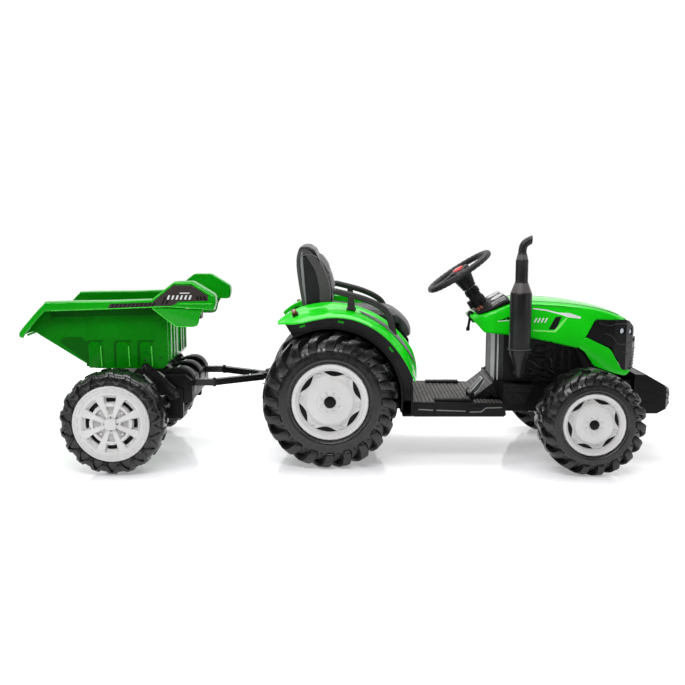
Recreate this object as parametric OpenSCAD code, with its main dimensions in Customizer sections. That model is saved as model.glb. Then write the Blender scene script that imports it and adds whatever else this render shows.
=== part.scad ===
// Ride-on toy tractor with a tipping trailer.
// +X is the way it drives, +Y is its left side, +Z is up, and z = 0 is the floor.
// The origin is the centre of the footprint.

/* [Wheels] */
// Radius of the rear tyres over the lugs
rear_tyre_r = 210; // [200:1:212]
// Width of the rear tyres
rear_tyre_w = 164; // [150:1:166]
// Distance from the centre plane to the middle of a rear tyre
rear_wheel_y = 172; // [172:1:176]
// Number of lugs round each side of a rear tyre
rear_lugs = 20; // [16:1:24]
// Radius of the front tyres over the lugs
front_tyre_r = 158; // [150:1:159]
// Width of the front tyres
front_tyre_w = 132; // [110:1:134]
// Distance from the centre plane to the middle of a front tyre
front_wheel_y = 266; // [266:1:270]
// Number of lugs round each side of a front tyre
front_lugs = 18; // [14:1:22]
// Radius of the trailer tyres
trailer_tyre_r = 159; // [150:1:160]
// Width of the trailer tyres
trailer_tyre_w = 109; // [95:1:110]
// Distance from the centre plane to the middle of a trailer tyre
trailer_wheel_y = 266.5; // [266:0.5:270]
// Number of lugs round each side of a trailer tyre
trailer_lugs = 18; // [14:1:24]
// Radius of every axle
axle_r = 8; // [6:0.5:8]
// Radial running clearance of a wheel on its axle
running_gap = 0.06; // [0.02:0.01:0.1]

/* [Layout] */
// Rear axle, forward of the centre of the footprint
rear_axle_x = -68; // [-70:1:-66]
// Front axle, forward of the centre of the footprint
front_axle_x = 716; // [714:1:718]
// Trailer axle, forward of the centre of the footprint
trailer_axle_x = -718; // [-722:1:-716]
// Hitch pin, forward of the centre of the footprint
hitch_x = -262; // [-264:1:-260]
// Height of the drawbar's centre line
hitch_z = 250; // [249:1:251]

/* [Steering] */
// Lean of the steering column, from upright
column_tilt = 33.5; // [33:0.5:34]
// Radius of the steering wheel, over the middle of its rim
steering_wheel_r = 107; // [95:1:110]
// Radius of the steering wheel's tube
steering_tube_r = 11; // [9:0.5:12]
// Distance from the centre plane to a kingpin
kingpin_y = 180; // [178:1:182]
// Length of the steering arms, kingpin to pin
steering_arm = 60; // [58:1:62]

/* [Drive] */
// Module of the final gear pair
gear_module = 2; // [2:0.5:2]
// Teeth on the gear that drives a rear wheel
wheel_gear_teeth = 48; // [48:12:48]
// Teeth on the motor's pinion
pinion_teeth = 12; // [12:12:12]

/* [Body] */
// Thickness of the moulded shells
wall = 4; // [3:0.5:5]
// Half width of the hood at its lower edge
hood_half_w = 148; // [140:1:148]
// Half width of the hood at its top crease
hood_top_half_w = 118; // [110:1:124]
// Half width of the seat
seat_half_w = 122; // [110:1:124]
// Radius of the exhaust stack's silencer
stack_r = 33; // [28:1:34]

/* [Trailer] */
// Half width of the tub's side walls, outside
tub_half_w = 165; // [160:1:166]
// Half width over the tub's rim
tub_rim_half_w = 206; // [200:1:208]
// Thickness of the tub's walls
tub_wall = 5; // [4:0.5:6]
// Half spacing of the drawbar's tubes at the frame
drawbar_half_w = 120; // [110:1:124]
// Size of the drawbar's square tubes
tube_size = 20; // [16:1:20]

/* [Hidden] */

$fn = 48;
left = 1;
right = -1;
green = "limegreen";
black = [0.09, 0.09, 0.10];
charcoal = [0.2, 0.2, 0.21];
steel = [0.6, 0.6, 0.62];
white = "white";

rear_axle_z = rear_tyre_r;
front_axle_z = front_tyre_r;
trailer_axle_z = trailer_tyre_r;
hub_bore_r = axle_r + running_gap;

// Centre of the steering wheel, and how far the column reaches below it
wheel_centre = [349, 0, 592];
column_len = 515;
crank_len = 39;
column_r = 8;
tie_rod_z = 130;
tie_rod_t = 5;

// Rear wheel drive: the pinion sits ahead of the wheel gear
gear_distance = gear_module * (wheel_gear_teeth + pinion_teeth) / 2;
pinion_x = rear_axle_x + gear_distance;
gear_y0 = 60;
gear_w = 12;

// Pedal's pivot on the footboard, seen from the side
pedal_pivot = [378, 212];

// Gear lever's pivot behind the dash panel, seen from the side
lever_pivot = [384, 457];

// Tub pivot, and the tub's outlines seen from the side
tub_pivot = [-640, 308];
pivot_r = 6;
latch_pivot = [-494, 478];
latch_r = 6;
hopper_outline = [
    [-983, 416], [-800, 301], [-588, 301], [-570, 318], [-572, 512],
    [-736, 512], [-916, 510], [-941, 502], [-1013, 424], [-1016, 404]
];
hopper_inside = [
    [-1030, 412], [-984, 424], [-798, 301 + tub_wall], [-592, 301 + tub_wall], [-575, 322],
    [-577, 530], [-1030, 530]
];
rim_outline = [
    [-1016, 404], [-1013, 424], [-941, 504], [-916, 512], [-736, 514], [-607, 518],
    [-537, 574], [-484, 574], [-419, 534], [-415, 507], [-422, 487],
    [-586, 497], [-612, 494], [-915, 483], [-941, 474], [-992, 417]
];
wing_outline = [
    [-612, 495], [-552, 449], [-534, 435], [-485, 435], [-470, 441], [-466, 455], [-455, 488],
    [-586, 498]
];

// ---------------------------------------------------------------- helpers

// Extrudes an XZ outline across the model, from y0 to y1
module across(y0, y1) {
    translate([0, y1, 0]) rotate([90, 0, 0]) linear_extrude(y1 - y0) children();
}

// The same across both sides, from y0 to y1 off the centre plane
module both_sides(y0, y1) {
    across(y0, y1) children();
    across(-y1, -y0) children();
}

// Extrudes a YZ outline along the model, from x0 to x1
module along(x0, x1) {
    translate([x0, 0, 0]) rotate([90, 0, 90]) linear_extrude(x1 - x0) children();
}

// A box given by its two corners
module span(low, high) {
    translate(low) cube(high - low);
}

// A pin or hole along Y, from y0 to y1
module pin_y(x, z, r, y0, y1) {
    translate([x, y0, z]) rotate([-90, 0, 0]) cylinder(r = r, h = y1 - y0);
}

// Mirrors to the right-hand side what is drawn for the left
module sided(side) {
    mirror([0, side > 0 ? 0 : 1, 0]) children();
}

// Local z runs outwards from the centre plane, on an axle at x and z
module on_axle(side, x, z) {
    sided(side) translate([x, 0, z]) rotate([-90, 0, 0]) children();
}

// Local z runs up the steering column from the steering wheel's centre
module on_column() {
    translate(wheel_centre) rotate([0, -column_tilt, 0]) children();
}

// The steering shaft's path with room to spare round it
module column_hole(room) {
    on_column() translate([0, 0, -column_len]) cylinder(r = column_r + room, h = column_len);
}

// A round rod through a list of points, with ball corners
module rod(points, r) {
    for (i = [0:len(points) - 2]) {
        run = points[i + 1] - points[i];
        length = norm(run);
        translate(points[i])
            rotate([0, acos(run[2] / length), atan2(run[1], run[0])])
                cylinder(r = r, h = length);
    }
    for (i = [1:len(points) - 2])
        translate(points[i]) sphere(r = r + 0.4);
}

// A ring with teeth of trapezoid shape, from the root circle to the tip circle
function toothed(count, root, tip, root_part, tip_part, phase = 0) = [
    for (i = [0:count - 1])
        for (corner = [[-root_part, root], [-tip_part, tip], [tip_part, tip], [root_part, root]])
            let (a = phase + (i + corner[0] / 2) * 360 / count)
                corner[1] * [cos(a), sin(a)]
];

// ---------------------------------------------------------------- wheels

// Hollow tyre: a thin carcass with two staggered rows of lugs
module tyre(r, w, centre, rim_r, lugs, lug_h) {
    carcass_r = r - lug_h;
    shoulder = 0.16 * w;
    skin = 6;
    z0 = centre - w / 2;
    z1 = centre + w / 2;
    color(black) {
        difference() {
            rotate_extrude($fn = 96) polygon([
                [rim_r, z0 + skin], [rim_r + skin, z0], [carcass_r - shoulder, z0],
                [carcass_r, z0 + shoulder], [carcass_r, z1 - shoulder], [carcass_r - shoulder, z1],
                [rim_r + skin, z1], [rim_r, z1 - skin]
            ]);
            rotate_extrude($fn = 96) polygon([
                [rim_r - 1, z0 + 2 * skin], [carcass_r - shoulder - skin / 2, z0 + skin],
                [carcass_r - skin, z0 + shoulder + skin / 2],
                [carcass_r - skin, z1 - shoulder - skin / 2],
                [carcass_r - shoulder - skin / 2, z1 - skin], [rim_r - 1, z1 - 2 * skin]
            ]);
        }
        for (row = [0, 1])
            translate([0, 0, row == 0 ? z0 + shoulder / 2 : centre - 1])
                linear_extrude(w / 2 - shoulder / 2 + 1) difference() {
                    polygon(toothed(lugs, carcass_r - 2, r, 0.62, 0.48, row * 180 / lugs));
                    circle(r = carcass_r - skin / 2, $fn = 96);
                }
    }
}

// Rim: barrel with a rolled lip, dished web with lens-shaped slots, and a hub tube
module rim(r, z_in, z_out, dish, hub_r, slot_phase, bore_r) {
    slot_r = 0.75 * r;
    color(white) difference() {
        union() {
            rotate_extrude($fn = 96) polygon([
                [r - 12, z_in], [r + 2, z_in], [r + 2, z_in + 6], [r - 6, z_in + 10],
                [r - 6, z_out - 10], [r + 2, z_out - 6], [r + 2, z_out], [r - 5, z_out],
                [r - 14, z_out - dish], [r - 14, z_out - dish - 6], [r - 11, z_out - dish - 10]
            ]);
            rotate_extrude($fn = 96) polygon([
                [hub_r - 4, z_out - dish], [0.5 * r, z_out - dish], [0.62 * r, z_out - dish - 8],
                [r - 8, z_out - dish - 8], [r - 8, z_out - dish - 14], [0.6 * r, z_out - dish - 14],
                [0.48 * r, z_out - dish - 6], [hub_r - 4, z_out - dish - 6]
            ]);
            translate([0, 0, z_in]) cylinder(r = hub_r, h = z_out - dish - z_in);
        }
        for (i = [0:5])
            rotate([0, 0, slot_phase + 60 * i])
                translate([slot_r, 0, z_out - dish - 20])
                    linear_extrude(24) intersection() {
                        translate([-0.27 * r, 0]) circle(r = 0.32 * r);
                        translate([0.27 * r, 0]) circle(r = 0.32 * r);
                    }
        translate([0, 0, z_in - 1]) cylinder(r = bore_r, h = z_out - z_in + 2);
    }
}

module rear_tyre(side) {
    on_axle(side, rear_axle_x, rear_axle_z)
        tyre(rear_tyre_r, rear_tyre_w, rear_wheel_y, 118, rear_lugs, 20);
}

module rear_rim(side) {
    on_axle(side, rear_axle_x, rear_axle_z)
        rim(115.8, 96, rear_wheel_y + rear_tyre_w / 2 - 8, 12, 20, 37.5, hub_bore_r);
}

module front_tyre(side) {
    on_axle(side, front_axle_x, front_axle_z)
        tyre(front_tyre_r, front_tyre_w, front_wheel_y, 95, front_lugs, 16);
}

module front_rim(side) {
    on_axle(side, front_axle_x, front_axle_z)
        rim(92.8, 214, front_wheel_y + front_tyre_w / 2 - 8, 11, 16, 48, hub_bore_r);
}

module trailer_tyre(side) {
    on_axle(side, trailer_axle_x, trailer_axle_z)
        tyre(trailer_tyre_r, trailer_tyre_w, trailer_wheel_y, 116, trailer_lugs, 9);
}

// Hub cap with four wide and four narrow windows round a square boss
module trailer_rim(side) {
    z_in = trailer_wheel_y - trailer_tyre_w / 2 + 3;
    z_out = trailer_wheel_y + trailer_tyre_w / 2 - 5;
    color(white) on_axle(side, trailer_axle_x, trailer_axle_z) difference() {
        union() {
            rotate_extrude($fn = 96) polygon([
                [107, z_in], [115.8, z_in], [115.8, z_out], [100, z_out + 3], [86, z_out],
                [60, z_out - 6], [40, z_out], [20, z_out], [20, z_out - 6], [40, z_out - 6],
                [60, z_out - 12], [86, z_out - 6], [107, z_out - 6]
            ]);
            translate([0, 0, z_in]) cylinder(r = 22, h = z_out - z_in);
        }
        for (i = [0:7])
            rotate([0, 0, 45 * i]) translate([73, 0, z_out - 16]) linear_extrude(20)
                square([22, i % 2 == 0 ? 20 : 34], center = true);
        translate([0, 0, z_in - 1]) cylinder(r = hub_bore_r, h = z_out - z_in - 5);
    }
}

// ---------------------------------------------------------------- rear drive

module rear_axle() {
    end = rear_wheel_y + rear_tyre_w / 2 - 8;
    color(steel) {
        pin_y(rear_axle_x, rear_axle_z, axle_r, -end, end);
        for (side = [left, right])
            on_axle(side, rear_axle_x, rear_axle_z) translate([0, 0, end - 10]) difference() {
                cylinder(r = 14, h = 8, $fn = 6);
                translate([0, 0, -1]) cylinder(r = axle_r, h = 10);
            }
    }
}

// Wheel gear and the sleeve that reaches the rim
module drive_gear(side) {
    pitch_r = gear_module * wheel_gear_teeth / 2;
    color(white) on_axle(side, rear_axle_x, rear_axle_z) difference() {
        union() {
            translate([0, 0, gear_y0]) linear_extrude(gear_w)
                polygon(toothed(wheel_gear_teeth, pitch_r - 1.25 * gear_module,
                    pitch_r + 0.9 * gear_module, 0.72, 0.2));
            translate([0, 0, gear_y0]) cylinder(r = 18, h = 96 - gear_y0);
        }
        translate([0, 0, gear_y0 - 1]) cylinder(r = hub_bore_r, h = 40);
    }
}

// Pinion and motor shaft; a gap between teeth faces the wheel gear's tooth
module motor_pinion(side) {
    pitch_r = gear_module * pinion_teeth / 2;
    color(steel) on_axle(side, pinion_x, rear_axle_z) {
        translate([0, 0, gear_y0 - 1]) linear_extrude(gear_w + 2)
            polygon(toothed(pinion_teeth, pitch_r - 1.25 * gear_module,
                pitch_r + 0.9 * gear_module, 0.74, 0.18, 180 + 180 / pinion_teeth));
        translate([0, 0, 20]) cylinder(r = 3, h = 58);
    }
}

// Two-lobed housing round the gear pair
module gearbox(side) {
    color(charcoal) on_axle(side, 0, rear_axle_z) difference() {
        translate([0, 0, 52]) linear_extrude(28) {
            translate([rear_axle_x, 0]) circle(r = 58);
            translate([pinion_x, 0]) circle(r = 22);
        }
        translate([0, 0, 56]) linear_extrude(19) {
            translate([rear_axle_x, 0]) circle(r = 54);
            translate([pinion_x, 0]) circle(r = 18);
        }
        translate([rear_axle_x, 0, 70]) cylinder(r = 20, h = 12);
        translate([rear_axle_x, 0, 50]) cylinder(r = hub_bore_r, h = 12);
        translate([pinion_x, 0, 50]) cylinder(r = 3 + running_gap, h = 12);
        translate([pinion_x, 0, 70]) cylinder(r = 3 + running_gap, h = 12);
    }
}

// Motor can with its shaft bore
module motor(side) {
    color(steel) on_axle(side, pinion_x, rear_axle_z) difference() {
        translate([0, 0, 4]) cylinder(r = 18, h = 48);
        translate([0, 0, 7]) cylinder(r = 15, h = 41);
        translate([0, 0, 40]) cylinder(r = 3 + running_gap, h = 20);
    }
}

module battery() {
    color(charcoal) {
        span([62, -58, 196], [152, 58, 290]);
        span([70, -50, 290], [80, -40, 297]);
        span([70, 40, 290], [80, 50, 297]);
    }
}

// ---------------------------------------------------------------- rear body and seat

// Moulded body under the seat, with the wheel arches' liners
module rear_body() {
    pedestal = [
        [-186, 156], [180, 156], [188, 170], [183, 343], [181, 381], [150, 436], [-186, 436]
    ];
    pedestal_inside = [
        [-182, 150], [176, 150], [184, 170], [179, 343], [177, 380], [148, 432], [-182, 432]
    ];
    color(black) difference() {
        union() {
            difference() {
                across(-84, 84) polygon(pedestal);
                across(-80, 80) polygon(pedestal_inside);
            }
            for (side = [left, right]) {
                on_axle(side, rear_axle_x, rear_axle_z) {
                    rotate([0, 0, -128]) rotate_extrude(angle = 138, $fn = 96)
                        polygon([[220, 82], [225, 82], [225, 205], [220, 205]]);
                }
                sided(side) {
                    span([156, 82, 156], [188, 200, 162]);
                    span([182, 82, 156], [188, 200, 254]);
                }
            }
        }
        pin_y(rear_axle_x, rear_axle_z, 24, -100, 100);
    }
    color(black) span([60, -82, 190], [154, 82, 196]);
}

// Green fender: a sloping skirt, a crease and an inner wall, swept about the rear axle
module fender(side) {
    color(green) on_axle(side, rear_axle_x, rear_axle_z)
        rotate([0, 0, -125]) rotate_extrude(angle = 113, $fn = 96) polygon([
            [258, 215], [296, 140], [296, 126], [225, 126], [225, 130], [292, 130],
            [292, 139], [254, 215]
        ]);
}

// Bent rail of the armrest with its post, cut to sit on the fender
module armrest(side) {
    color(charcoal) difference() {
        sided(side) across(156, 172) {
            polygon([
                [-61, 533], [-4, 521], [57, 500], [94, 480], [111, 453], [118, 400],
                [136, 400], [129, 459], [108, 494], [65, 518], [0, 539], [-57, 551]
            ]);
            polygon([[-13, 465], [7, 465], [7, 528], [-13, 532]]);
        }
        on_axle(side, rear_axle_x, rear_axle_z) rotate_extrude($fn = 96)
            polygon([[150, 100], [296, 100], [296, 140], [258, 215], [258, 230], [150, 230]]);
    }
}

// Lamps on the rear slope of the fenders
module tail_lights() {
    color("orange") for (side = [left, right])
        on_axle(side, rear_axle_x, rear_axle_z)
            rotate([0, 0, -115]) rotate_extrude(angle = 5)
                polygon([[290.95, 150], [279.8, 172], [287.87, 176.1], [299, 154.1]]);
}

module seat_cushion() {
    color(charcoal) across(-seat_half_w, seat_half_w) polygon([
        [-98, 436], [140, 436], [146, 450], [134, 468], [40, 478], [-92, 484], [-98, 478]
    ]);
}

module seat_back_shell() {
    shell = [
        [-144, 436], [-151, 484], [-169, 587], [-172, 634], [-165, 678], [-153, 683],
        [-121, 680], [-118, 650], [-93, 619], [-72, 571], [-66, 539], [-70, 490], [-102, 488],
        [-102, 436]
    ];
    pocket = [
        [-133, 480], [-152, 590], [-154, 634], [-144, 662], [-90, 650], [-60, 600], [-40, 539],
        [-44, 480]
    ];
    color(charcoal) difference() {
        across(-seat_half_w - 3, seat_half_w + 3) polygon(shell);
        across(-seat_half_w + 12, seat_half_w - 12) polygon(pocket);
    }
}

module seat_back_pad() {
    half = seat_half_w - 13;
    color(charcoal) across(-half, half) polygon([
        [-134.03, 486], [-152, 590], [-154, 634], [-144, 662], [-112, 654.5], [-90, 632],
        [-68, 598], [-56, 540], [-62, 486]
    ]);
}

// ---------------------------------------------------------------- front body

// Footboard with raised grip strips and the sloping toe board
module footboard() {
    color(black) {
        difference() {
            across(-185, 185) polygon([
                [188, 156], [192, 152], [472, 152], [479, 158], [473, 192], [385, 195], [188, 198]
            ]);
            across(-181, 181) polygon([
                [193, 140], [474, 140], [474, 158], [469, 188], [385, 191], [193, 194]
            ]);
        }
        for (side = [left, right])
            span([259, side * 155 - 15, 194], [372, side * 155 + 15, 202]);
        for (y = [-138, -68])
            across(y, y + 6) {
                translate(pedal_pivot) circle(r = 8);
                translate([pedal_pivot[0] - 8, 192]) square([16, 20]);
            }
        pin_y(pedal_pivot[0], pedal_pivot[1], 3, -138, -62);
        across(-118, 118) polygon([[380, 194], [412, 188], [446, 210], [446, 246]]);
    }
}

// Base of the front end: a deep box behind the front axle and a shallow one over it
module front_chassis() {
    outline = [
        [446, 200], [476, 200], [484, 156], [690, 156], [690, 192], [884, 192], [884, 256], [446, 256]
    ];
    inside = [
        [450, 204], [480, 204], [488, 160], [686, 160], [686, 196], [880, 196], [880, 270], [450, 270]
    ];
    color(black) difference() {
        union() {
            across(-120, 120) polygon(outline);
            intersection() {
                both_sides(118, 170) polygon([
                    [480, 189], [538, 189], [546, 210], [566, 247], [448, 256], [446, 243],
                    [464, 208]
                ]);
                translate([0, 0, 150]) linear_extrude(150) polygon([
                    [452, -117], [472, -171], [600, -171], [600, 171], [472, 171], [452, 117]
                ]);
            }
        }
        across(-116, 116) polygon(inside);
        span([570, -60, 150], [680, 60, 165]);
        column_hole(4);
    }
}

// Moulded engine and cowl under the hood, open inside for the steering shaft
// Plan that narrows towards its tail, to shape the cowl's rear
module rear_taper(tail, half) {
    translate([0, 0, 200]) linear_extrude(400) polygon([
        [tail, -50], [tail + 10, -90], [tail + 24, -half], [960, -half], [960, half],
        [tail + 24, half], [tail + 10, 90], [tail, 50]
    ]);
}

module engine_block() {
    outline = [
        [424, 412], [450, 363], [434, 305], [442, 256], [750, 256], [750, 303], [720, 349],
        [700, 358], [560, 395], [484, 404]
    ];
    inside = [
        [434, 408], [460, 363], [444, 305], [450, 246], [742, 246], [742, 300], [714, 344],
        [694, 352], [560, 388], [484, 398]
    ];
    color(black) {
        difference() {
            intersection() {
                across(-138, 138) polygon(outline);
                rear_taper(450, 138);
            }
            intersection() {
                across(-132, 132) polygon(inside);
                rear_taper(458, 132);
            }
            column_hole(6);
        }
        for (i = [0:4])
            both_sides(136, 142) translate([580 + 24 * i, 285 + 2 * i])
                square([10, 60]);
    }
}

// Hood shell over the engine, with a leg on each side round the mask
module hood() {
    outline = [
        [379, 455], [414, 413], [484, 407], [554, 398], [638, 380], [704, 365], [726, 351],
        [757, 305], [826, 280], [857, 274], [874, 294], [846, 290], [806, 360], [726, 394],
        [759, 455], [857, 453], [845, 467], [776, 488], [707, 500], [587, 509], [495, 505]
    ];
    hollow = [
        [360, 400], [760, 300], [750, 340], [716, 392], [750, 458], [845, 449], [830, 466],
        [770, 483], [700, 495], [587, 504], [496, 500], [385, 452]
    ];
    section = [
        [-hood_half_w, 270], [hood_half_w, 270], [hood_half_w, 400], [hood_top_half_w, 500],
        [60, 515], [-60, 515], [-hood_top_half_w, 500], [-hood_half_w, 400]
    ];
    inner_section = [
        [wall - hood_half_w, 260], [hood_half_w - wall, 260], [hood_half_w - wall, 400],
        [hood_top_half_w - wall, 498], [60, 511], [-60, 511], [wall - hood_top_half_w, 498],
        [wall - hood_half_w, 400]
    ];
    color(green) difference() {
        intersection() {
            across(-hood_half_w, hood_half_w) polygon(outline);
            along(370, 900) polygon(section);
        }
        intersection() {
            across(-hood_half_w, hood_half_w) polygon(hollow);
            along(350, 890) polygon(inner_section);
        }
        span([700, wall - hood_half_w, 260], [890, hood_half_w - wall, 400]);
        span([370, -108, 430], [408, 108, 480]);
        column_hole(4);
    }
}

// One lamp on each corner and one beside the grille on each side
module lamps(r, depth) {
    for (side = [left, right]) {
        translate([842.5, side * 118.5, 414]) rotate([0, 90, side * 62]) cylinder(r = r, h = depth);
        translate([874, side * 93.5, 409]) rotate([0, 90, side * 46]) cylinder(r = r, h = depth);
    }
}

// Black mask with the brow, the lamp band and the grille
module grille_mask() {
    side_view = [
        [763, 451], [857, 449], [873, 444], [900, 418], [900, 398], [892, 386], [913, 373],
        [918, 361], [910, 339], [905, 299], [898, 284], [862, 286], [850, 296], [810, 364],
        [733, 396]
    ];
    top_view = [
        [720, -140], [820, -140], [862, -124], [892, -92], [914, -48], [921, 0], [914, 48],
        [892, 92], [862, 124], [820, 140], [720, 140]
    ];
    color(black) difference() {
        intersection() {
            across(-140, 140) polygon(side_view);
            translate([0, 0, 270]) linear_extrude(200) polygon(top_view);
        }
        translate([-wall, 0, -wall]) intersection() {
            across(-136, 136) polygon(side_view);
            translate([0, 0, 270]) linear_extrude(200)
                translate([5, 0]) scale([0.99, 0.965]) polygon(top_view);
        }
        lamps(11, 30);
    }
}

module headlights() {
    color(white) lamps(11, 10);
}

module front_bumper() {
    color(black) {
        difference() {
            intersection() {
                across(-140, 140) polygon([
                    [891, 278], [922, 276], [1010, 226], [1015, 207], [1007, 194], [1016, 180],
                    [964, 152], [900, 152], [888, 192], [888, 256]
                ]);
                translate([0, 0, 140]) linear_extrude(160) polygon([
                    [870, -141], [990, -141], [1020, -96], [1020, 96], [990, 141], [870, 141]
                ]);
            }
            across(-130, 130) polygon([
                [898, 268], [920, 266], [980, 226], [982, 190], [960, 160], [906, 160], [896, 195]
            ]);
        }
        span([884, -90, 196], [889, 90, 250]);
    }
}

// Upright exhaust on the right-hand side: silencer, tail pipe and the elbow into the engine
module exhaust_stack() {
    x = 513;
    y = -195;
    color(charcoal) {
        translate([x, y, 0]) rotate_extrude() polygon([
            [0, 300], [16, 300], [24, 335], [stack_r - 4, 366], [stack_r + 2, 366],
            [stack_r + 2, 370], [stack_r, 370], [stack_r, 538], [19, 574], [19, 637], [13, 659],
            [13, 668], [0, 668]
        ]);
        difference() {
            rod([[x, y, 664], [x + 2, y, 680], [x + 11, y, 692], [x + 36, y, 704]], 12);
            span([x + 28, y - 30, 660], [x + 60, y + 30, 740]);
        }
        rod([[x, y, 306], [x, y, 284], [x, -138, 284]], 13);
    }
}

// Instrument panel behind the hood, with the sleeve round the column and the lever's ears
module dash_panel() {
    color(black) {
        difference() {
            union() {
                across(-116, 116) polygon([
                    [396, 462.33], [495, 505], [490, 517], [440, 500], [414, 482]
                ]);
                on_column() translate([0, 0, -128]) cylinder(r = 26, h = 62);
                for (y = [-51, -20])
                    across(y, y + 4) {
                        translate([lever_pivot[0], lever_pivot[1]]) circle(r = 8);
                        polygon([[384, 450], [404, 470], [396, 478], [384, 465]]);
                    }
            }
            on_column() translate([0, 0, -column_len])
                cylinder(r = column_r + running_gap, h = column_len);
        }
        pin_y(lever_pivot[0], lever_pivot[1], 3, -51, -16);
    }
}

// ---------------------------------------------------------------- controls and steering

module steering_wheel() {
    color(black) on_column() {
        rotate_extrude($fn = 96) translate([steering_wheel_r, 0])
            circle(r = steering_tube_r, $fn = 32);
        for (a = [90, 180, 270])
            rotate([0, 0, a]) translate([22, -12, -5]) cube([steering_wheel_r - 24, 24, 9]);
        difference() {
            translate([0, 0, -14]) cylinder(r = 36, h = 22);
            translate([0, 0, 2]) cylinder(r = 20, h = 10);
        }
        translate([0, 0, -62]) cylinder(r1 = 22, r2 = 30, h = 50);
    }
}

module horn_button() {
    color("red") on_column() translate([0, 0, 5.2]) cylinder(r = 19, h = 7);
}

// Steering shaft with its cranked foot and pin
module steering_shaft() {
    color(steel) on_column() {
        translate([0, 0, -column_len]) cylinder(r = column_r, h = column_len - 62);
        translate([-crank_len, -8, -column_len]) cube([crank_len, 16, 7]);
        translate([-crank_len, 0, -column_len]) cylinder(r = 8, h = 7);
        translate([-crank_len, 0, -column_len - 24]) cylinder(r = 4, h = 26);
    }
}

// Treadle plate on a tube that turns on the footboard's pin
module pedal() {
    color(charcoal) difference() {
        translate([pedal_pivot[0], -100, pedal_pivot[1]]) {
            rotate([0, 40, 0]) across(-20, 20)
                polygon([[-5, 0], [-5, 62], [3, 62], [11, 28], [8, 0]]);
            pin_y(0, 0, 7, -30, 30);
        }
        pin_y(pedal_pivot[0], pedal_pivot[1], 3 + running_gap, -140, -60);
    }
}

module gear_lever() {
    x = lever_pivot[0];
    z = lever_pivot[1];
    color(charcoal) difference() {
        union() {
            pin_y(x, z, 10, -46, -21);
            translate([x, -34, z]) rotate([0, 189, 0]) cylinder(r = 4, h = 50);
        }
        pin_y(x, z, 3 + running_gap, -60, -10);
    }
}

// Stub axle, kingpin barrel, steering arm with its pin, and the axle's nut
module knuckle(side) {
    y = side * kingpin_y;
    end = front_wheel_y + front_tyre_w / 2 - 8;
    color(steel) {
        difference() {
            union() {
                translate([front_axle_x, y, 136]) cylinder(r = 11, h = 46);
                on_axle(side, front_axle_x, front_axle_z)
                    translate([0, 0, kingpin_y]) cylinder(r = axle_r, h = end - kingpin_y);
                span([front_axle_x - steering_arm, y - 8, 138], [front_axle_x, y + 8, 144]);
                translate([front_axle_x - steering_arm, y, 138]) cylinder(r = 8, h = 6);
                translate([front_axle_x - steering_arm, y, 124]) cylinder(r = 4, h = 16);
            }
            translate([front_axle_x, y, 130]) cylinder(r = 5 + running_gap, h = 60);
        }
        on_axle(side, front_axle_x, front_axle_z) translate([0, 0, end - 10]) difference() {
            cylinder(r = 13, h = 8, $fn = 6);
            translate([0, 0, -1]) cylinder(r = axle_r, h = 10);
        }
    }
}

// Beam with a fork and a kingpin at each end
module front_axle_beam() {
    color(steel) {
        span([706, -164, 128], [726, 164, 192]);
        for (side = [left, right]) {
            y = side * kingpin_y;
            for (z = [128, 184])
                difference() {
                    union() {
                        span([704, min(y, side * 160), z], [728, max(y, side * 160), z + 6]);
                        translate([front_axle_x, y, z]) cylinder(r = 12, h = 6);
                    }
                    translate([front_axle_x, y, z - 1]) cylinder(r = 5, h = 8);
                }
            translate([front_axle_x, y, 126]) cylinder(r = 5, h = 68);
            translate([front_axle_x, y, 190]) cylinder(r = 9, h = 4);
        }
    }
}

// Flat tie rod: a slot for each steering arm's pin and one for the crank's pin
module tie_rod() {
    bar_x = front_axle_x - steering_arm;
    color(steel) difference() {
        union() {
            span([bar_x - 9, -kingpin_y - 12, tie_rod_z],
                [bar_x + 15, kingpin_y + 12, tie_rod_z + tie_rod_t]);
            span([588, -16, tie_rod_z], [bar_x, 16, tie_rod_z + tie_rod_t]);
        }
        for (side = [left, right])
            span([bar_x - 5, side * kingpin_y - 5, tie_rod_z - 1],
                [bar_x + 11, side * kingpin_y + 5, tie_rod_z + tie_rod_t + 1]);
        span([594, -6, tie_rod_z - 1], [632, 6, tie_rod_z + tie_rod_t + 1]);
    }
}

// ---------------------------------------------------------------- hitch and trailer

// Clevis on the back of the rear body
module hitch_bracket() {
    color(black) {
        span([-192, -30, 215], [-186, 30, 285]);
        for (z = [230, 264])
            difference() {
                union() {
                    span([hitch_x, -22, z], [-190, 22, z + 6]);
                    translate([hitch_x, 0, z]) cylinder(r = 22, h = 6);
                }
                translate([hitch_x, 0, z - 1]) cylinder(r = pivot_r, h = 8);
            }
    }
}

module hitch_pin() {
    color(steel) {
        translate([hitch_x, 0, 220]) cylinder(r = pivot_r, h = 52);
        translate([hitch_x, 0, 270]) cylinder(r = 11, h = 5);
        rod([[hitch_x, 0, 224], [hitch_x - 26, -8, 222], [hitch_x - 34, -10, 226]], 1.6);
    }
}

// Eye plate of the drawbar, between the clevis's ears
module hitch_tongue() {
    z = hitch_z - 10;
    color(black) difference() {
        union() {
            translate([hitch_x, 0, z]) cylinder(r = 18, h = 20);
            span([hitch_x - 46, -16, z], [hitch_x, 16, z + 20]);
        }
        translate([hitch_x, 0, z - 1]) cylinder(r = pivot_r + running_gap, h = 22);
    }
}

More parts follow.
